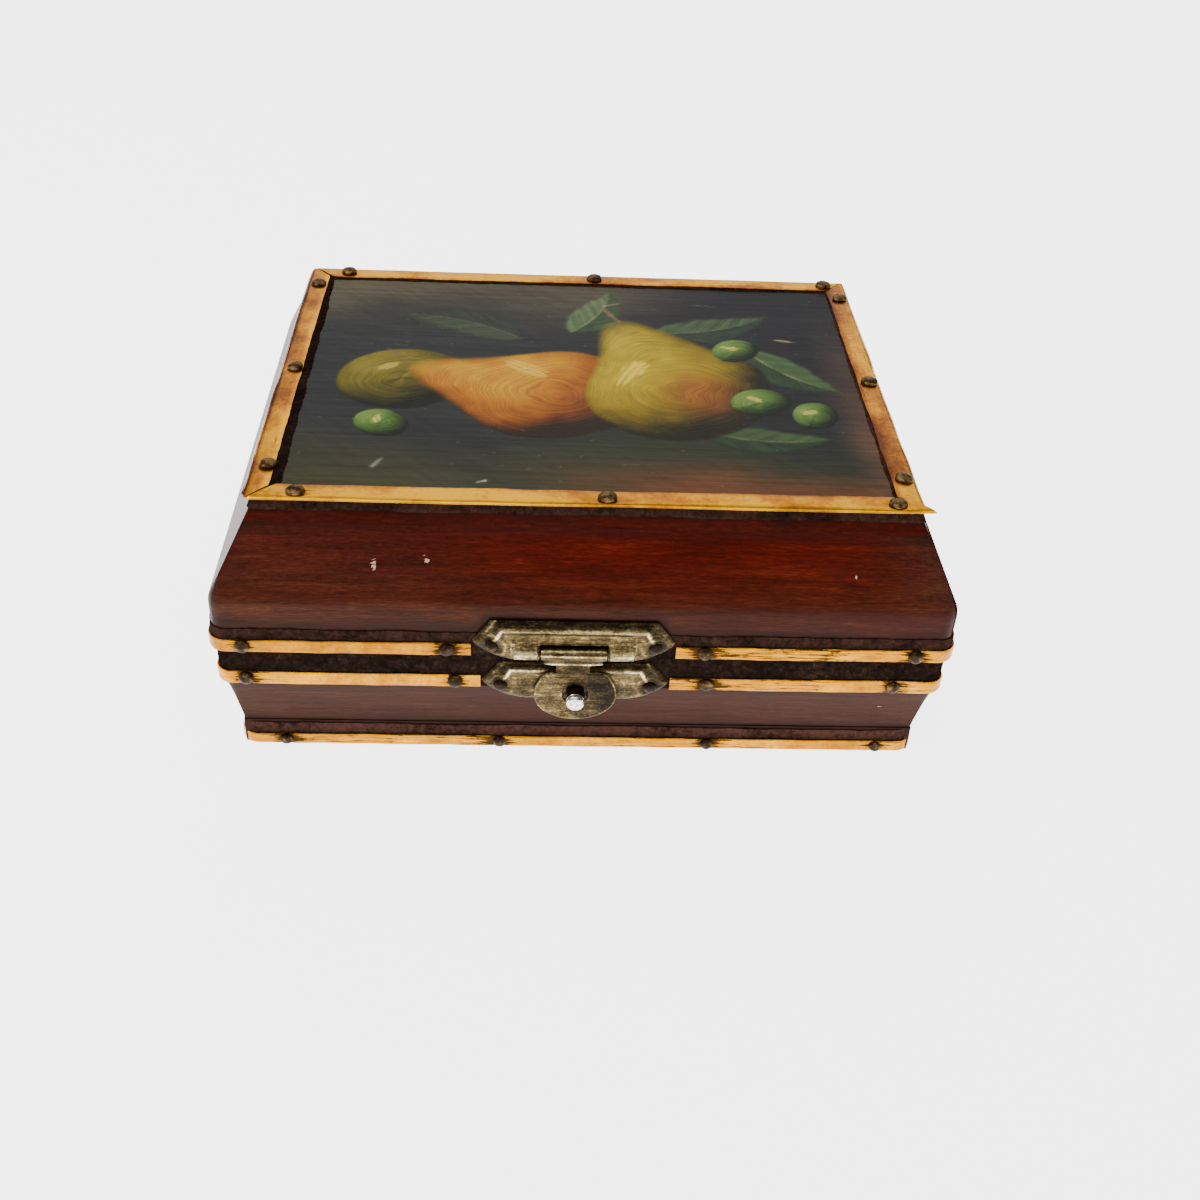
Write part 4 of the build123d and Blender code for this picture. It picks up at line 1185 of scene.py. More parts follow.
# %% Dish a plate at its nails
plate_sheet = 0.5 * mm
point_length = 3.5 * mm
roll_at = 1.8 * mm
dish = 1.9 * mm


def slanted(x, z, half_length, half_height, point):
    """Distance inside the slanting edge that cuts an upper corner of the plate."""
    return ((half_length - x) * half_height - z * point) / np.hypot(half_height, point)


def dished(shape, world_x, world_z, edge_gap, patchy, centres):
    """Sink a dish with a raised rim round each nail into a plate's height, its ridge and its hollow mark."""
    height, ridge, hollow = shape
    for centre in centres:
        gap = np.hypot(world_x - centre[0], world_z - centre[2])
        sunk = bell(gap, dish)
        height = height * (1 - sunk) + np.minimum(height, 0.62 * mm) * sunk
        hollow = np.maximum(hollow, 0.9 * sunk)
        crest = bell(gap - 2.6 * mm, 0.5 * mm) * clamp(edge_gap / (0.8 * mm) - 0.4)
        height = height + 0.20 * mm * crest
        ridge = np.maximum(ridge * (1 - 0.6 * sunk), 0.42 * crest * patchy)
    return height, ridge, hollow


# %% Fold a plate over the wire
def covered(shape, across, world_z, seat, channel):
    """Raise the cover over the wire: half a tube, h = axis - seat + sqrt(r^2 - (z - axis)^2), and above it a
    slope back to the face. The channel is the wire's place, the cover's reach, its start and its end."""
    height, ridge, hollow = shape
    axis_out, axis_z, reach, inner, outer = channel
    off_axis = np.abs(world_z - axis_z)
    shell = np.clip(reach**2 - (world_z - axis_z) ** 2, 0, None)
    ends = clamp((across - inner) / (0.25 * mm)) * clamp((outer - across) / (0.7 * mm)) ** 0.5
    beside = (across > inner) * (across < outer)
    cover = (shell > 0) * beside
    above = clamp(1 - (off_axis - reach) / (0.9 * mm)) * (off_axis >= reach)
    tube = (axis_out - seat + np.sqrt(shell)) * ends
    bulge = np.where(cover, tube, (axis_out - seat) * ends * above**1.3)
    height = np.where(beside, np.maximum(height, bulge), height)
    lit = 0.40 + 0.5 * bell(world_z - axis_z - 0.5 * mm, 0.4 * mm)
    ridge = np.where(cover, lit, np.maximum(ridge, 0.35 * beside * (above > 0)))
    return height, ridge, np.where(cover | (beside & (above > 0)), 0.0, hollow)


# %% Stamp a plate
def stamped_plate(name, node, body, ridge_height, belly, seed, notch=(0.0, 0.0), channel=None):
    """Front face y = -(seat + h). With e the distance from the upper outline, h rises by a bevel to a roll at
    e = 1.8 mm, which hooks down inside the ends, and dips behind it. The notch is the half width and the top
    of an opening."""
    low, high = span(node)
    seat = -high[1]
    middle = (low + high) / 2
    half_length, _, half_height = (high - low) / 2
    notch_reach, notch_level = notch

    # The outline, and a grid of rows that lie closer together at its edges
    x = np.linspace(-half_length + 0.05 * mm, half_length - 0.05 * mm, 201)
    if notch_reach:
        corners = np.array([-notch_reach, notch_reach])
        x = np.unique(np.concatenate([x, corners - 0.01 * mm, corners + 0.01 * mm]))
    in_notch = np.abs(x) < notch_reach
    upper = np.minimum(half_height, (half_length - np.abs(x)) * half_height / point_length)
    tail = clamp((np.abs(x) - (half_length - belly)) / belly)
    lower = -half_height * (1 - tail**1.9) ** (1 / 1.45)
    bottom = np.where(in_notch, notch_level - middle[2], np.minimum(lower, -0.02 * mm))
    top = np.maximum(upper, 0.02 * mm)
    rows = 0.5 - 0.5 * np.cos(np.linspace(0, np.pi, 45))
    z = bottom[:, None] + (top - bottom)[:, None] * rows
    across = np.abs(x)[:, None]

    # Distances from the outline, from the opening and from the line of the roll
    slant = slanted(across, z, half_length, half_height, point_length)
    from_top = np.minimum(half_height - z, slant)
    from_bottom = z - bottom[:, None]
    below = z - np.where(in_notch, -half_height, lower)[:, None]
    rim_gap = np.minimum(from_top, np.maximum(below * 0.9, 0))
    edge_gap = np.minimum(from_top, from_bottom)
    hook = slanted(across, z, half_length - 2.3 * mm, half_height, 0.7 * point_length)
    inner_gap = np.minimum(half_height - z, hook)

    # The height of the face
    stays = clamp((z + 0.45 * half_height) / (0.3 * half_height))
    roll = bell(inner_gap - roll_at, 0.75 * mm) * stays
    bevel = clamp(from_top / (0.7 * mm))
    field = clamp((inner_gap - roll_at) / (2.4 * mm))
    height = plate_sheet * (0.5 + 0.6 * bevel) + ridge_height * (roll + 0.45 * np.sin(np.pi / 2 * field) ** 2)
    height *= 0.35 + 0.65 * clamp(rim_gap / (0.9 * mm)) ** 0.6
    edge_radius = np.where(across < notch_reach, 7 * mm, 1.4 * mm)
    height = np.minimum(height, plate_sheet * 0.3 + np.sqrt(np.clip(edge_gap, 0, None) * edge_radius))

    # Painted highlights on the roll, its hooked ends, the lower edge and the end flanges, and painted shade
    # on the bevel above the roll
    patchy = 0.6 + 0.4 * waver(x, 1.7 * mm, seed + 5)[:, None]
    hooked = bell(across - half_length + 5.6 * mm, 1.9 * mm)
    shine = bell(inner_gap - roll_at + 0.25 * mm, 0.30 * mm) * stays * (0.72 + 0.5 * hooked)
    glow = 0.26 * bell(inner_gap - roll_at - 1.5 * mm, 1.1 * mm) * stays
    lower_edge_highlight = 0.75 * bell(from_bottom, 0.28 * mm) * patchy
    flange_highlight = 0.6 * bell(slant - 0.7 * mm, 0.30 * mm) * (z > -0.1 * half_height) * patchy
    ridge = np.maximum(np.maximum(shine * (0.75 + 0.25 * patchy), glow), np.maximum(lower_edge_highlight, flange_highlight))
    hollow = 0.55 * clamp((1.5 * mm - inner_gap) / (0.8 * mm)) * (1 - flange_highlight)

    world_x, world_z = middle[0] + x[:, None], middle[2] + z
    centres = nails[f"{node}_nails"].centre
    height, ridge, hollow = dished((height, ridge, hollow), world_x, world_z, edge_gap, patchy, centres)
    if channel:
        height, ridge, hollow = covered((height, ridge, hollow), across, world_z, seat, channel)

    # Small knocks all over, then the face and its flat back as one grid
    knocks = mottle(world_x + 0 * z, world_z, 1.6 * mm, 1.2 * mm, seed) - 0.5
    height = height + knocks * 0.16 * mm * clamp(edge_gap / (0.6 * mm))
    grid_x = np.repeat(world_x, z.shape[1] + 2, axis=1)
    grid_out = np.concatenate([seat + height, np.full((len(x), 2), seat - 0.05 * mm)], axis=1)
    grid_z = np.concatenate([world_z, middle[2] + np.stack([top, bottom], axis=1)], axis=1)
    grid = np.stack([grid_x, -grid_out, grid_z], axis=-1)
    marks = {"ridge": with_back(ridge), "hollow": with_back(hollow)}
    piece = skin(name, grid, marks=marks, flat_angle=50.0)
    return finish_piece(piece, body, node, latch_finish)


wire_low, wire_high = span("latch_hinge_wire")
wire_radius = (wire_high - wire_low)[2] / 2
wire_z = (wire_low + wire_high)[2] / 2
wire_out = -(wire_low + wire_high)[1] / 2
latch_middle = (wire_low + wire_high)[0] / 2
hasp_low, hasp_high = span("latch_hasp")
knuckle_reach = hasp_high[2] - wire_z
knuckle_half = 6.4 * mm
play = 0.3 * mm
cover_sheet = 0.65 * mm
cover_length = 5.6 * mm
notch_half = knuckle_half + play
notch_top = wire_z + knuckle_reach + play
channel_shape = (wire_out, wire_z, wire_radius + cover_sheet, notch_half, notch_half + cover_length)
stamped_plate(
    "hasp_plate_stamped", "latch_hasp_plate", "lid", 0.95 * mm, 10.5 * mm, 401,
    notch=(notch_half, notch_top), channel=channel_shape,
)
stamped_plate("catch_plate_stamped", "latch_catch_plate", "base", 0.55 * mm, 9.5 * mm, 411)


# %% [markdown]
# The hasp swings on the wire. Its disc is pierced for the pin. A disc with a hole cut by a boolean has long
# thin faces, so this one is a grid in polar form round the hole, out to an outline that is half an ellipse
# below and narrows a little to the neck above.

# %% Draw the outline of the hasp's disc
pin_low, pin_high = span("latch_catch_pin")
pin_centre = (pin_low + pin_high) / 2
pin_reach = (pin_high - pin_low)[2] / 2
hole_reach = pin_reach + 0.55 * mm
disc_low = hasp_low[2]
disc_height = 12.1 * mm
disc_half = 16.3 * mm / 2
disc_top = disc_low + disc_height
disc_top_half = 12.4 * mm / 2
leaf_sheet = 0.7 * mm
leaf_back = wire_out - knuckle_reach
leaf_face = leaf_back + leaf_sheet


def disc_outline(angle):
    """Radius of the disc round the pin's axis: a half ellipse below its middle, sides that draw in above,
    and rounded upper corners, read off a dense outline by angle."""
    middle = disc_low + disc_height / 2
    turn = np.linspace(np.pi, 2 * np.pi, 200)
    lower = np.stack([disc_half * np.cos(turn), middle + disc_height / 2 * np.sin(turn)], axis=1)
    corner = bow((disc_half, middle), (disc_top_half + 0.3 * mm, disc_top), (0, disc_top), 2.2 * mm, 40)
    side = np.linspace((disc_half, middle), corner[0], 60)
    side[:, 0] += 0.35 * mm * np.sin(np.linspace(0, np.pi, 60))
    flat = np.linspace(corner[-1], (-corner[-1][0], corner[-1][1]), 60)
    right = np.vstack([side, corner])
    left = right[::-1] * np.array([-1.0, 1.0])
    outline = np.vstack([lower, right, flat, left]) - np.array([0.0, pin_centre[2]])
    bearing = np.mod(np.arctan2(outline[:, 1], outline[:, 0]), 2 * np.pi)
    order = np.argsort(bearing)
    radius = np.hypot(outline[:, 0], outline[:, 1])
    return np.interp(angle, bearing[order], radius[order], period=2 * np.pi)


print("hole in the disc, mm:", round(2 * hole_reach / mm, 2))

# %% Make the hasp's disc
spokes = 220
angle = np.linspace(0, 2 * np.pi, spokes, endpoint=False)
ring_share = np.array([0.0, 0.02, 0.06, 0.15, 0.3, 0.45, 0.6, 0.75, 0.87, 0.94, 0.975, 0.992, 1.0])
fall = np.array([0.3, 0.1, 0.02, 0, 0, 0, 0, 0, 0, 0.01, 0.05, 0.14, 0.34]) * mm
reach_grid = hole_reach + (disc_outline(angle)[:, None] - hole_reach) * ring_share
disc_x = pin_centre[0] + reach_grid * np.cos(angle)[:, None]
disc_z = pin_centre[2] + reach_grid * np.sin(angle)[:, None]
dents = (mottle(disc_x, disc_z, 3.2 * mm, 2.6 * mm, 421) - 0.5) * 0.09 * mm
face_out = leaf_face - fall + dents * (ring_share > 0) * (ring_share < 0.98)
disc_face = np.stack([disc_x, -face_out, disc_z], axis=-1)
disc_back = disc_face[:, [-1, 0]]
disc_back[..., 1] = -leaf_back

broken = 0.55 + 0.45 * waver(angle, 0.16, 423, 2 * np.pi)[:, None]
rubbed_edge = 0.75 * bell(1 - ring_share, 0.035) * broken
# Painted highlight on the left half and round the hole, and painted shade towards the right
left_and_hole_highlight = 0.16 * clamp(-(disc_x - pin_centre[0]) / (6 * mm)) + 0.25 * bell(ring_share, 0.12)
to_the_right = (disc_x - pin_centre[0] + 0.4 * (disc_z - pin_centre[2])) / (8 * mm)
shaded = np.clip(0.32 + 0.6 * to_the_right, 0.1, 0.75) * (ring_share < 0.96)
disc_marks = {"ridge": with_back(np.maximum(rubbed_edge, left_and_hole_highlight)), "hollow": with_back(shaded)}
disc_grid = np.concatenate([disc_face, disc_back], axis=1)
disc = skin("hasp_disc", disc_grid, closed=True, marks=disc_marks, flat_angle=50.0)
finish_piece(disc, "hasp", "latch_hasp", latch_finish)


# %% [markdown]
# Above the disc the hasp is one strip: a narrow neck, a wider tab and a curl round the wire, wider still. A
# flat section is carried up the strip and then round the wire, and its width follows the way.

# %% Curl the hasp's strip round the wire
neck_steps, curl_steps = 60, 70
neck_half, tab_half = 6.7 * mm / 2, 11.6 * mm / 2
tab_at = wire_z - 3.2 * mm
strip_foot = disc_top - 1.6 * mm
curl_radius = wire_out - (leaf_back + leaf_sheet / 2)
curl_angle = np.radians(292)
rib = 0.33 * mm

climb = np.concatenate([np.linspace(strip_foot, wire_z, neck_steps), np.full(curl_steps, wire_z)])
turn = np.concatenate([np.zeros(neck_steps), np.linspace(0, curl_angle, curl_steps)])
path_out = wire_out - curl_radius * np.cos(turn)
path_z = climb + curl_radius * np.sin(turn)
neck_length = wire_z - disc_top + 1.6 * mm
up_the_neck = np.linspace(0, neck_length, neck_steps)
along = np.concatenate([up_the_neck, neck_length + turn[neck_steps:] * curl_radius])
step_up = clamp((path_z - tab_at + 0.15 * mm) / (0.3 * mm)) * (turn == 0) + (turn > 0)
half = neck_half + (tab_half - neck_half) * step_up + (knuckle_half - tab_half) * clamp(turn / 0.5)

loop = np.linspace(0, 2 * np.pi, 72, endpoint=False)
wide = np.sign(np.cos(loop)) * np.abs(np.cos(loop)) ** 0.35
thick = np.sign(np.sin(loop)) * np.abs(np.sin(loop)) ** 0.35
ribbed = 1 + 0.04 * np.sin(along / rib * 2 * np.pi)[:, None] * (thick > 0.5)
outwards = leaf_sheet / 2 * 0.98 * thick * ribbed
grid_x = latch_middle + half[:, None] * wide
grid_out = path_out[:, None] + outwards * np.cos(turn)[:, None]
grid_z = path_z[:, None] - outwards * np.sin(turn)[:, None]
strip_grid = np.stack([grid_x, -grid_out, grid_z], axis=-1)

# Painted highlights: a line along the tab's lower edge and two bands along the curl
tab_edge_highlight = bell(path_z - tab_at - 0.15 * mm, 0.22 * mm) * (turn == 0)
curl_shine = 0.25 * (turn > 0) + 0.7 * bell(turn - 1.95, 0.22) + 0.55 * bell(turn - 2.85, 0.2)
strip_marks = {"ridge": np.maximum(curl_shine, 0.9 * tab_edge_highlight)[:, None], "hollow": 0.25}
strip = skin("hasp_curl", strip_grid, marks=strip_marks, flat_angle=50.0)
finish_piece(strip, "hasp", "latch_hasp", latch_finish)


# %% [markdown]
# The pin is turned and plated. Its shaft has gone brown where the hasp rubs, and its rounded end is bright.
# Turning is the same on the computer as on a lathe: a profile carried once round the axis. The wire of the
# hasp is made in the same way.

# %% Turn the pin and the wire
def turned(name, centre, axis, profile, body, node, material, sides=40, mark=None):
    """Carry a profile of radius and place along an axis once round it."""
    axis = np.array(axis, float)
    first = np.cross(axis, [0.0, 0.0, 1.0]) if abs(axis[2]) < 0.9 else np.array([1.0, 0.0, 0.0])
    second = np.cross(axis, first)
    spin = np.linspace(0, 2 * np.pi, sides, endpoint=False)
    radius = profile[:, 0][:, None, None]
    flat = np.cos(spin)[None, :, None] * first + np.sin(spin)[None, :, None] * second
    points = np.array(centre) + profile[:, 1][:, None, None] * axis + radius * flat
    piece = skin(name, points, marks=mark)
    return finish_piece(piece, body, node, material)


def pin_plating():
    """Bright nickel on the end, brown on the shaft."""
    plated = Finish("worn_nickel_pin")
    clouds = plated.noise(plated.place(), 1100.0, 4.0, 0.6)
    bright = plated.above(plated.mark("tip") + clouds * 0.5 - 0.25, 0.35, 0.6)
    brown = plated.shades(clouds, [(0.35, 26, 14, 8), (0.6, 74, 46, 28), (0.75, 150, 118, 84)])
    nickel = plated.shades(clouds, [(0.36, 110, 100, 84), (0.44, 206, 200, 188), (0.6, 240, 238, 232)])
    colour = plated.blend(brown, nickel, bright)
    rough = 0.32 - bright * 0.12 + clouds * 0.1
    bump = plated.rough_up(clouds, 0.00008, 0.5)
    return plated.wear(Base_Color=colour, Metallic=0.95, Roughness=rough, Normal=bump)


pin_end = -pin_low[1]
pin_root = -span("latch_catch_plate")[0][1] - 0.4 * mm
nose = 0.75 * mm
bend = np.linspace(0, np.pi / 2, 9)[:-1]
shaft = np.array([[0.96, pin_root], [0.97, pin_end - 1.25 * mm], [0.9, pin_end - 1.05 * mm]]) * [pin_reach, 1]
rounded = [pin_reach * 0.93 - nose + nose * np.cos(bend), pin_end - nose + nose * np.sin(bend)]
pin_profile = np.vstack([shaft, np.stack(rounded, axis=1), [[pin_reach * 0.2, pin_end]]])
tip_mark = clamp((pin_profile[:, 1] - (pin_end - 1.15 * mm)) / (0.1 * mm))[:, None]
turned(
    "catch_pin_turned", (pin_centre[0], 0, pin_centre[2]), (0, -1, 0), pin_profile, "base", "latch_catch_pin",
    pin_plating(), mark={"tip": tip_mark},
)
wire_half = min((wire_high - wire_low)[0] / 2, channel_shape[4] - 0.8 * mm)
wire_shares = np.array([[0.6, -1.0], [1.0, -0.985], [1.0, 0.985], [0.6, 1.0]])
wire_profile = wire_shares * [wire_radius * 0.98, wire_half]
turned(
    "hinge_wire_drawn", (latch_middle, -wire_out, wire_z), (1, 0, 0), wire_profile, "lid", "latch_hinge_wire",
    nail_finishes["rim"], sides=20,
)


# %% [markdown]
# ## The painted panel
# The flat of the lid carries a small still life in oils: pears, leaves and nuts on a dark ground, loosely
# brushed. An image would have to be brought along as a file. Colours on the points of a fine grid need none,
# so it is worked out on one grid, in millimetres from the panel's middle. Each form is a height field that
# is lit from the upper left, as a painter would, and laid over what is already there.

# %% Set up the easel
panel_low, panel_high = span("lid_picture_panel")
under_tape = np.array([[1.4, 2.3], [1.5, 1.3]]) * mm
paint_across, paint_back = np.meshgrid(
    np.linspace(panel_low[0] - under_tape[0, 0], panel_high[0] + under_tape[1, 0], 335) / mm,
    np.linspace(panel_low[1] - under_tape[0, 1], panel_high[1] + under_tape[1, 1], 265) / mm,
    indexing="ij",
)
paint_light = np.array([-0.50, 0.52, 0.69])
print("painted grid:", paint_across.shape, "points")


def smooth(value, low, high):
    """Smooth step 3t^2 - 2t^3 from 0 at low to 1 at high."""
    share = clamp((value - low) / (high - low))
    return share * share * (3 - 2 * share)


# %% Lay paint on the grid
class Painting:
    """Colour (0 to 255), relief in mm and the place across the brush strokes, on the panel's grid."""

    def __init__(self, across, back):
        self.across = across
        self.back = back
        self.colour = np.zeros(across.shape + (3,))
        self.relief = np.zeros(across.shape)
        self.swirl = np.array(back)

    def lay(self, colour, mask):
        """Cover with a colour as far as the mask says."""
        self.colour += (np.asarray(colour, float) - self.colour) * mask[..., None]

    def local(self, centre, turn, size):
        """Places along and across an axis through the centre, turned by degrees, in units of the size."""
        angle = np.radians(turn)
        x, y = self.across - centre[0], self.back - centre[1]
        return (x * np.cos(angle) + y * np.sin(angle)) / size, (y * np.cos(angle) - x * np.sin(angle)) / size

    def model(self, height, mask, tones, pitch, seed):
        """Paint a rounded form: its tones run from shade to light by normal . light, and its strokes follow
        its contours, a pitch apart."""
        step_x = self.across[1, 0] - self.across[0, 0]
        step_y = self.back[0, 1] - self.back[0, 0]
        slope_x, slope_y = np.gradient(height, step_x, step_y)
        length = np.sqrt(slope_x**2 + slope_y**2 + 1)
        lit = (paint_light[2] - slope_x * paint_light[0] - slope_y * paint_light[1]) / length
        uneven = mottle(self.across, self.back, 3.5, 2.6, seed) - 0.5
        height = height + 1.6 * (mottle(self.across, self.back, 7.0, 5.0, seed + 2) - 0.5)
        with_form = height * 6 + self.across * 0.25
        streak = mottle(with_form, self.across * 0.3 + self.back * 0.3, 1.0, 1.6, seed + 1) - 0.5
        share = clamp(0.04 + 0.86 * lit + 0.16 * uneven + 0.16 * streak)
        stops = np.linspace(0, 1, len(tones))
        tones = np.array(tones, float)
        shaded = np.stack([np.interp(share, stops, tones[:, band]) for band in range(3)], axis=-1)
        self.colour += (shaded - self.colour) * mask[..., None]
        wave = np.sin(2 * np.pi * height / pitch + 4.0 * uneven)
        self.relief = self.relief * (1 - mask) + (0.06 + 0.03 * wave + 0.05 * streak) * mask
        self.swirl = np.where(mask > 0.5, height * 1.6 + 0.8 * uneven, self.swirl)

    def dab(self, centre, turn, size, colour, strength=1.0, seed=0):
        """A short loaded stroke: an ellipse broken into ridges along its length."""
        along, side = self.local(centre, turn, size)
        side = side * 2.4
        ragged = 0.5 * (mottle(side, along, 0.22, 0.5, seed) - 0.5)
        body = smooth(1.0 - np.hypot(along, side) + ragged, 0.0, 0.30)
        ridge = 0.6 + 0.4 * np.sin(side * 11 + seed)
        self.lay(colour, body * ridge * strength)
        self.relief += 0.10 * body * ridge * strength

    def scratch(self, start, end, width, colour, strength):
        """A thin line: full within its width of the segment from start to end, and fading at both ends."""
        start, end = np.array(start, float), np.array(end, float)
        run = end - start
        x, y = self.across - start[0], self.back - start[1]
        share = (x * run[0] + y * run[1]) / (run @ run)
        gap = np.abs(x * run[1] - y * run[0]) / np.hypot(*run) + waver(share, 0.22, 7) * 0.2
        mask = smooth(width - np.abs(gap), 0.0, width) * smooth(share, 0, 0.15) * smooth(1 - share, 0, 0.3)
        self.lay(colour, mask * strength)
        self.relief -= 0.03 * mask * strength


# %% [markdown]
# The ground is brushed first: slate to the left, near black to the right, with an olive glaze in the lower
# left corner and warm brown along the lower and right edges, where the dark paint is thin. Each glaze is a
# colour and a mask, and they are laid one after another as on a real panel.

# %% Brush the ground
painting = Painting(paint_across, paint_back)
strokes = mottle(paint_across, paint_back, 9.0, 0.9, 501) - 0.5
patches = mottle(paint_across, paint_back, 17.0, 11.0, 502) - 0.5
cross = mottle(paint_across + paint_back, paint_back, 1.4, 5.0, 503) - 0.5
painting.lay((40, 41, 40), np.ones_like(paint_across))
painting.lay((28, 27, 31), 0.9 * smooth(paint_across + 14 * patches, -20, 36))
for glaze, strength, up, patchiness, (start, full), (left, right), over in (
    ((100, 88, 62), 0.75, 1, 10, (20, 44), (0, 50), 40 - paint_across),
    ((62, 60, 30), 0.9, -1, 9, (20, 44), (0, 46), 2 - paint_across),
    ((46, 50, 26), 0.8, -1, 12, (14, 34), (-34, 0), paint_across),
    ((108, 60, 28), 0.9, -1, 7, (31, 44), (-26, 26), paint_across),
):
    edge = smooth(up * paint_back + patchiness * patches, start, full)
    painting.lay(glaze, strength * edge * smooth(over, left, right))
right_edge = smooth(paint_across + 4 * patches, 49, 59) * smooth(30 - paint_back, -20, 60)
painting.lay((98, 66, 48), 0.8 * right_edge)
painting.colour *= (1 + 0.18 * strokes + 0.12 * cross + 0.14 * patches)[..., None]
painting.relief += 0.05 * strokes + 0.03 * cross
print("mean colour of the ground:", painting.colour.mean(axis=(0, 1)).round())


# %% [markdown]
# The forms come next, from the back to the front: leaves with a pale rib, a round fruit in shade, the two
# pears, and hazelnuts. A pear is a body of revolution: its half width runs over the axis as a smooth curve,
# and its height is sqrt(w^2 - d^2). A leaf is two gentle slopes that meet in the rib.

# %% Give each form its shape
def pear(centre, turn, size, tones, seed):
    """Half width over the axis, from the blossom end (-1) to the stalk (1):
    sqrt(1 - a^2) (0.62 - 0.22 tanh(2.6 (a - 0.15)))."""
    along, side = painting.local(centre, turn, size)
    bent = side + 0.05 * np.sin(2.2 * along + seed)
    width = np.sqrt(clamp(1 - along**2)) * (0.62 - 0.22 * np.tanh(2.6 * (along - 0.15)))
    inside = np.sqrt(np.clip(width**2 - bent**2, 0, None))
    ragged = 0.05 * (mottle(along, bent, 0.14, 0.10, seed) - 0.5)
    mask = smooth(inside + ragged, 0.04, 0.30) * (np.abs(along) < 1)
    painting.model(inside * size, mask, tones, 1.5, seed)


def leaf(centre, turn, size, breadth, light_tone, dark_tone, rib, seed):
    """Two slopes and a rib: half width b (1 - a^2)^0.8 (1 - 0.35 a) along the axis a from -1 to 1."""
    along, side = painting.local(centre, turn, size)
    side = side - 0.18 * (along**2 - 0.4)
    width = breadth * clamp(1 - along**2) ** 0.8 * (1 - 0.35 * along)
    ragged = 0.02 * waver(along, 0.12, seed)
    mask = smooth(width + ragged - np.abs(side), 0.0, 0.13)
    vein = 0.5 + 0.5 * np.sin(18 * (along - 1.3 * np.abs(side)))
    light_side = smooth(side, -0.05, 0.06)
    uneven = mottle(along, side, 0.2, 0.1, seed) - 0.5
    lit = 0.25 + 0.5 * light_side + 0.25 * vein * light_side + 0.3 * uneven
    shade = np.array(dark_tone) + (np.array(light_tone, float) - dark_tone) * lit[..., None]
    painting.colour += (shade - painting.colour) * (0.9 * mask)[..., None]
    broken = 0.35 + 0.65 * mottle(along, side, 0.16, 0.4, seed + 1)
    on_rib = smooth(0.035 - np.abs(side), 0.0, 0.03) * smooth(0.9 - along, 0, 0.6)
    painting.lay(rib, 0.7 * broken * mask * on_rib)
    painting.relief = painting.relief * (1 - mask) + mask * (0.05 + 0.04 * vein * light_side)
    painting.swirl = np.where(mask > 0.5, 6 * (along - 1.3 * np.abs(side)), painting.swirl)


def round_form(centre, turn, size, squeeze, tones, pitch, seed):
    """A dome: height sqrt(1 - a^2 - (b / squeeze)^2), for the round fruit and the nuts."""
    along, side = painting.local(centre, turn, size)
    inside = 1 - along**2 - (side / squeeze) ** 2 + 0.05 * waver(np.arctan2(side, along), 0.7, seed)
    mask = smooth(inside, 0.0, 0.16)
    painting.model(np.sqrt(np.clip(inside, 0, None)) * size * squeeze, mask, tones, pitch, seed)


# %% Paint the leaves, the pears and the nuts
olive_tones = [(22, 24, 10), (48, 46, 10), (82, 74, 14), (112, 100, 22), (142, 128, 40)]
ruddy_tones = [(40, 24, 6), (96, 46, 4), (146, 78, 6), (176, 102, 8), (200, 132, 12), (220, 166, 30)]
yellow_tones = [(28, 26, 6), (72, 58, 4), (112, 92, 6), (148, 122, 8), (176, 148, 14), (202, 176, 32)]
nut_tones = [(18, 30, 12), (40, 60, 22), (66, 94, 36), (94, 124, 52), (126, 150, 74)]
pale_rib = (168, 160, 104)
leaf((30.0, 25.0), 20.0, 15.0, 0.44, (72, 94, 58), (28, 42, 30), (112, 114, 80), 511)
leaf((-27.0, 24.0), 158.0, 15.5, 0.42, (62, 74, 50), (36, 44, 36), (92, 96, 68), 512)
leaf((3.0, 31.0), 66.0, 12.0, 0.50, (98, 120, 74), (40, 58, 38), pale_rib, 513)
leaf((45.0, 4.0), -44.0, 13.5, 0.48, (76, 104, 56), (30, 48, 30), pale_rib, 514)
leaf((37.0, -24.0), -4.0, 14.0, 0.40, (66, 92, 48), (30, 46, 28), (138, 134, 88), 515)
round_form((-39.0, -2.0), 20.0, 14.5, 0.94, olive_tones, 1.2, 521)
pear((-14.0, -5.0), 158.0, 26.0, ruddy_tones, 531)
pear((17.0, 2.0), 112.0, 28.0, yellow_tones, 541)
blush_along, blush_side = painting.local((25.0, -6.0), 112.0, 13.0)
painting.lay((160, 78, 30), 0.6 * smooth(1.15 - np.hypot(blush_along, blush_side * 1.2), 0.0, 1.0))
for number, (nut_x, nut_y, nut_size, nut_turn) in enumerate(
    [(37.0, -9.0, 6.8, 20.0), (48.0, -14.0, 5.8, 70.0), (-42.0, -21.0, 6.2, 140.0), (34.0, 14.0, 6.0, 50.0)]
):
    round_form((nut_x, nut_y), nut_turn, nut_size, 0.84, nut_tones, 0.9, 551 + number)
    painting.dab((nut_x - 1.0, nut_y + 1.2), nut_turn - 60.0, 2.2, (236, 214, 104), 1.0, 561 + number)
painting.scratch((9.0, 25.5), (4.0, 35.0), 0.9, (134, 104, 70), 0.9)
painting.scratch((4.4, 34.4), (9.5, 36.6), 0.8, (176, 142, 100), 0.8)
painting.scratch((-37.0, 4.0), (-44.0, 12.0), 0.8, (120, 96, 66), 0.8)
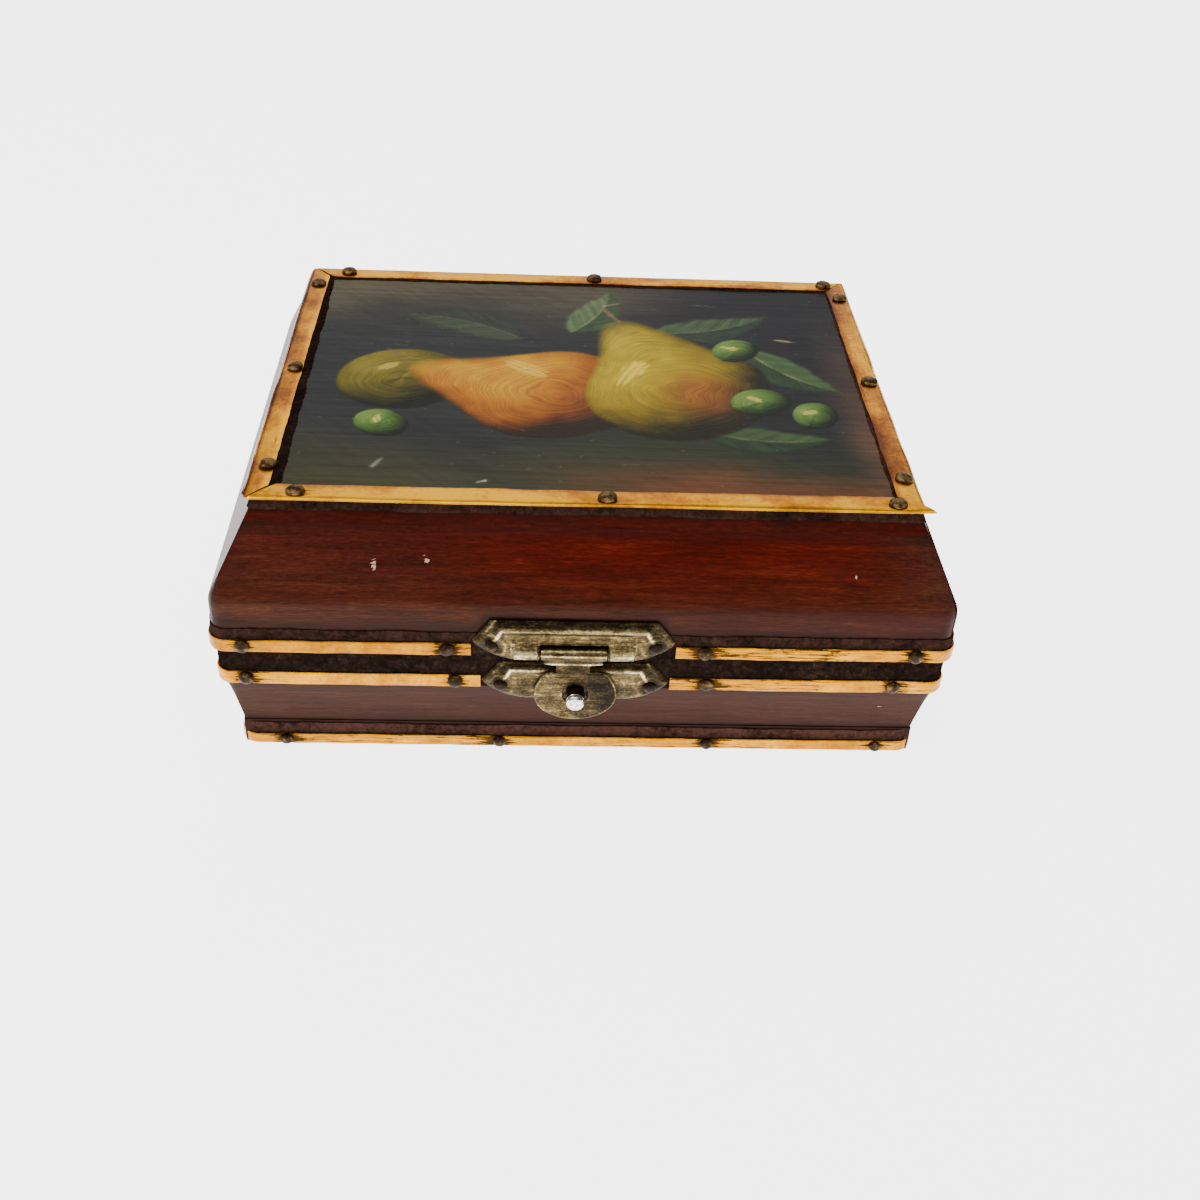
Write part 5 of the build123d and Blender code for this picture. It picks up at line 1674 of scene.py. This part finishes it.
for place, turn, size, colour, strength, seed in (
    ((9.5, 2.0), 66.0, 6.4, (250, 216, 70), 1.0, 571),
    ((11.6, 4.4), 58.0, 4.6, (246, 206, 60), 0.95, 574),
    ((-13.0, 3.4), -34.0, 6.0, (250, 204, 66), 0.95, 572),
    ((-10.8, 1.4), -40.0, 3.8, (244, 196, 56), 0.9, 575),
    ((-42.0, 3.0), 40.0, 3.2, (220, 200, 96), 0.85, 573),
):
    painting.dab(place, turn, size, colour, strength, seed)
print("brightest paint:", painting.colour.max(axis=(0, 1)).round())


# %% [markdown]
# Years of dusting have left a few pale scratches and chips in the varnish. The panel is a closed slab, with
# its painted face up, and its finish takes the colours from the points and adds finer brush lines.

# %% Age the painting
rng = np.random.default_rng(581)
for _ in range(9):
    start = rng.uniform([-50, -38], [50, 40])
    run = rng.uniform([4, -1.4], [9, 1.4])
    painting.scratch(start, start + run, 0.28, (120, 114, 104), rng.uniform(0.15, 0.5))
painting.scratch((43.0, 20.0), (49.0, 18.6), 0.55, (190, 176, 132), 0.75)
painting.scratch((-42.5, -38.5), (-40.2, -34.0), 0.9, (176, 174, 160), 0.6)
painting.scratch((-22.0, -42.8), (-19.5, -41.8), 0.5, (210, 206, 190), 0.8)
dust = rng.uniform([-57, -44], [57, 44], (70, 2))
fleck = np.zeros_like(paint_across)
for spot in dust:
    fleck = np.maximum(fleck, smooth(0.42 - np.hypot(paint_across - spot[0], paint_back - spot[1]), 0, 0.3))
painting.lay((132, 124, 112), 0.35 * fleck)
print("flecks of dust:", len(dust))


# %% Varnish the painting and mount it
def oil_paint():
    """Colour from the points; strokes are noise drawn out along the contours of each form."""
    paint = Finish("varnished_oil_paint")
    colour = paint.node("ShaderNodeAttribute", {"attribute_name": "paint"}, output=0)
    across_strokes = paint.node("ShaderNodeCombineXYZ", {}, {0: paint.mark("swirl") * 3.2, 1: 0.0, 2: 0.0})
    spot = paint.place((90.0, 90.0, 90.0))
    bristles = paint.node("ShaderNodeVectorMath", {"operation": "ADD"}, {0: across_strokes, 1: spot})
    lines = paint.noise(bristles, 1.0, 5.0, 0.6)
    canvas = paint.noise(paint.place(), 2600.0, 3.0, 0.6)
    haze = paint.noise(paint.place((1.0, 1.4, 1.0)), 45.0, 4.0, 0.6)
    dim_to_bright = [(0.36, (0.5, 0.5, 0.5, 1)), (0.5, (1, 1, 1, 1)), (0.64, (1.5, 1.48, 1.4, 1))]
    tint = paint.node("ShaderNodeValToRGB", {"stops": dim_to_bright}, {"Fac": lines * 0.7 + canvas * 0.3})
    return paint.wear(
        Base_Color=paint.blend(colour, tint, 0.6, "MULTIPLY"), Roughness=0.40 + canvas * 0.15 + haze * 0.12,
        Normal=paint.rough_up(lines * 0.6 + canvas * 0.4, 0.00012, 0.55), Specular_IOR_Level=0.15,
        Coat_Weight=0.03, Coat_Roughness=0.3,
    )


def on_flat_back(face, level):
    """A grid of points with two columns for its underside, at a level below its last and its first column."""
    return np.concatenate([face, face[:, [-1, 0]] * [1.0, 1.0, 0.0] + [0.0, 0.0, level]], axis=1)


def mount(painting):
    """Close the painted face over a flat back: one ring of points down the edge, then the underside."""
    top = panel_low[2] + (panel_high[2] - panel_low[2]) * 0.72 + painting.relief * mm
    top = np.minimum(top, panel_high[2] - 0.005 * mm)
    grid = on_flat_back(np.stack([painting.across * mm, painting.back * mm, top], axis=-1), panel_low[2])
    marks = {"swirl": with_back(painting.swirl)}
    slab = skin("painted_panel", grid, marks=marks, flat_angle=60.0)
    colour = np.pad(linear_light(painting.colour), [(0, 0), (0, 2), (0, 1)], constant_values=0.02)
    colour[..., 3] = 1.0
    layer = slab.data.attributes.new("paint", "FLOAT_COLOR", "POINT")
    layer.data.foreach_set("color", colour.reshape(-1).astype(np.float32))
    return finish_piece(slab, "lid", "lid_picture_panel", oil_paint())


mount(painting)


# %% [markdown]
# ## Inside and behind
# The tray is lined with thin felt, cut a little smaller than the floor and pressed into the corners. Cloth
# that is glued down doesn't hang, so it needs no simulation: it lies flat, with soft waves and a rounded
# edge.

# %% Make the felt's finish
def matted_felt():
    """Short fibres in every direction: fine noise in colour and bump, with a sheen of dust."""
    felt = Finish("matted_felt")
    fibres = felt.noise(felt.place(), 2400.0, 6.0, 0.7, 0.8)
    pile = felt.noise(felt.place((1.0, 1.3, 1.0)), 420.0, 4.0, 0.6, 1.2)
    worn = felt.noise(felt.place(), 38.0, 3.0, 0.55)
    tones = fibres * 0.5 + pile * 0.3 + worn * 0.2
    stops = [(0.35, 34, 12, 12), (0.5, 66, 22, 22), (0.62, 94, 38, 34), (0.75, 122, 66, 56)]
    bump = felt.rough_up(fibres * 0.6 + pile * 0.4, 0.0003, 0.8)
    colour = felt.shades(tones, stops)
    return felt.wear(Base_Color=colour, Roughness=0.92, Specular_IOR_Level=0.15, Normal=bump)


# %% Lay the felt
felt_low, felt_high = span("base_floor_lining")
felt_margin = 0.25 * mm


def felt_sheet(name, seed):
    """Face z = top - wave, with the edge falling as sqrt(1 - (1 - e / r)^2) over the edge distance e."""
    x = np.linspace(felt_low[0] + felt_margin, felt_high[0] - felt_margin, 161)
    y = np.linspace(felt_low[1] + felt_margin, felt_high[1] - felt_margin, 127)
    x, y = np.meshgrid(x, y, indexing="ij")
    x = x + waver(y, 9 * mm, seed) * 0.15 * mm
    y = y + waver(x, 9 * mm, seed + 1) * 0.15 * mm
    edge = np.minimum(np.minimum(x - x.min(), x.max() - x), np.minimum(y - y.min(), y.max() - y))
    fall = np.sqrt(1 - (1 - clamp(edge / (0.6 * mm))) ** 2)
    depth = felt_high[2] - felt_low[2]
    waves = mottle(x, y, 16 * mm, 13 * mm, seed + 2) * 0.30 + mottle(x, y, 3 * mm, 3 * mm, seed + 3) * 0.08
    top = felt_low[2] + depth * (0.35 + 0.65 * fall) * (1 - waves)
    grid = on_flat_back(np.stack([x, y, top], axis=-1), felt_low[2])
    return skin(name, grid, flat_angle=60.0)


felt = finish_piece(felt_sheet("floor_felt", 601), "base", "base_floor_lining", matted_felt())


# %% [markdown]
# The floor board, the hinges and their pins are plain in the real box too. The CAD solids have their shapes
# already, so they are kept and only take a finish.

# %% Finish the nodes that are kept
def bare_board():
    """Unlacquered softwood under the floor: pale brown grain, darkened by dust."""
    board = Finish("bare_floor_board")
    grain = board.noise(board.place((9.0, 260.0, 40.0)), 1.0, 6.0, 0.6, 0.8)
    pores = board.noise(board.place((60.0, 1900.0, 200.0)), 1.0, 3.0, 0.6)
    tones = grain * 0.7 + pores * 0.3
    stops = [(0.34, 70, 46, 30), (0.5, 116, 82, 56), (0.64, 150, 114, 80), (0.76, 172, 140, 104)]
    bump = board.rough_up(tones, 0.0002, 0.6)
    return board.wear(Base_Color=board.shades(tones, stops), Roughness=0.68 + pores * 0.2, Normal=bump)


def hinge_brass():
    """Brown patina over brass, brighter where the knuckles rub."""
    brass = Finish("patinated_hinge_brass")
    clouds = brass.noise(brass.place(), 340.0, 5.0, 0.65)
    grit = brass.noise(brass.place(), 1900.0, 3.0, 0.6)
    stops = [(0.34, 58, 42, 24), (0.5, 122, 92, 48), (0.62, 170, 130, 66), (0.75, 208, 168, 92)]
    colour = brass.shades(clouds * 0.7 + grit * 0.3, stops)
    bump = brass.rough_up(clouds + grit * 0.4, 0.0001, 0.5)
    return brass.wear(Base_Color=colour, Metallic=0.95, Roughness=0.34 + clouds * 0.25, Normal=bump)


def finish_nodes(names, material):
    """Give carried-over CAD nodes their finish."""
    for name in names:
        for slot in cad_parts[name].material_slots:
            slot.material = material


finish_nodes(["base_floor_panel"], bare_board())
kept_ends = ("hinge_base_leaf", "hinge_lid_leaf", "hinge_pin")
hinge_names = [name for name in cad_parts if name.endswith(kept_ends)]
finish_nodes(hinge_names, hinge_brass())
print("hinge nodes:", hinge_names)


# %% [markdown]
# ## Floor, light and camera
# The box stands on a plain pale floor under a broad soft light, seen from the front, above and slightly to
# the left, with the lens that gives the photograph's perspective. The floor glows a little, so that it stays
# pale where the lights are far away.

# %% Lay the floor
floor_reach = 3.0
floor_corners = [(x * floor_reach, y * floor_reach, 0) for x, y in ((-1, -1), (1, -1), (1, 1), (-1, 1))]
floor_mesh = bpy.data.meshes.new("studio_floor")
floor_mesh.from_pydata(floor_corners, [], [(0, 1, 2, 3)])
floor = bpy.data.objects.new("studio_floor", floor_mesh)
bpy.context.scene.collection.objects.link(floor)
pale = Finish("pale_floor")
floor_mesh.materials.append(
    pale.wear(
        Base_Color=(0.9, 0.9, 0.9, 1.0), Roughness=0.9, Specular_IOR_Level=0.1,
        Emission_Color=(1.0, 1.0, 1.0, 1.0), Emission_Strength=3.8,
    )
)

# %% Set up the lights
world = bpy.data.worlds.new("studio")
bpy.context.scene.world = world
world.use_nodes = True
background = world.node_tree.nodes["Background"]
background.inputs["Color"].default_value = (1.0, 1.0, 1.0, 1.0)
background.inputs["Strength"].default_value = 0.25


def soft_light(name, place, aim, size, power):
    """A square area light that looks from a place at a point."""
    light = bpy.data.lights.new(name, "AREA")
    light.size = size
    light.energy = power
    lamp = bpy.data.objects.new(name, light)
    bpy.context.scene.collection.objects.link(lamp)
    away = np.array(place) - np.array(aim)
    away = away / np.linalg.norm(away)
    across = np.cross([0.0, 0.0, 1.0], away)
    across = across / np.linalg.norm(across)
    top = np.cross(away, across)
    turn = np.stack([across, top, away], axis=1)
    lamp.matrix_world = Matrix.Translation(place) @ Matrix(turn.tolist()).to_4x4()


soft_light("key_light", (-0.55, -0.10, 0.9), (0, 0, 0.03), 0.45, 6.5)
soft_light("front_light", (0.05, -0.60, 1.0), (0, 0, 0.03), 0.8, 4.5)
soft_light("back_light", (0.1, 1.25, 0.95), (0, 0, 0.05), 1.1, 5.5)
print("lights:", [light.name for light in bpy.data.lights])

# %% [markdown]
# The camera's place, its pitch, yaw and roll and its focal length were fitted to the box's corners in the
# photograph. They give the three axes of the camera, which are the columns of its matrix.

# %% Place the camera
camera_place = np.array([-12.0, -282.0, 210.0]) * mm
pitch, yaw, roll_angle = np.radians([37.09, 3.64, 3.24])
focal_pixels = 1473.0
photo_pixels = 1200.0
sight = np.array([np.sin(yaw) * np.cos(pitch), np.cos(yaw) * np.cos(pitch), -np.sin(pitch)])
level = np.cross(sight, [0.0, 0.0, 1.0])
level = level / np.linalg.norm(level)
upright = np.cross(level, sight)
right = level * np.cos(roll_angle) + upright * np.sin(roll_angle)
top = upright * np.cos(roll_angle) - level * np.sin(roll_angle)
camera_data = bpy.data.cameras.new("photo_camera")
camera_data.sensor_width = 36.0
camera_data.lens = focal_pixels / photo_pixels * camera_data.sensor_width
camera_data.clip_start = 0.01
camera = bpy.data.objects.new("photo_camera", camera_data)
bpy.context.scene.collection.objects.link(camera)
pose = Matrix(np.stack([right, top, -sight], axis=1).tolist()).to_4x4()
camera.matrix_world = Matrix.Translation(camera_place.tolist()) @ pose
bpy.context.scene.camera = camera
print("lens", round(camera_data.lens, 1), "mm")
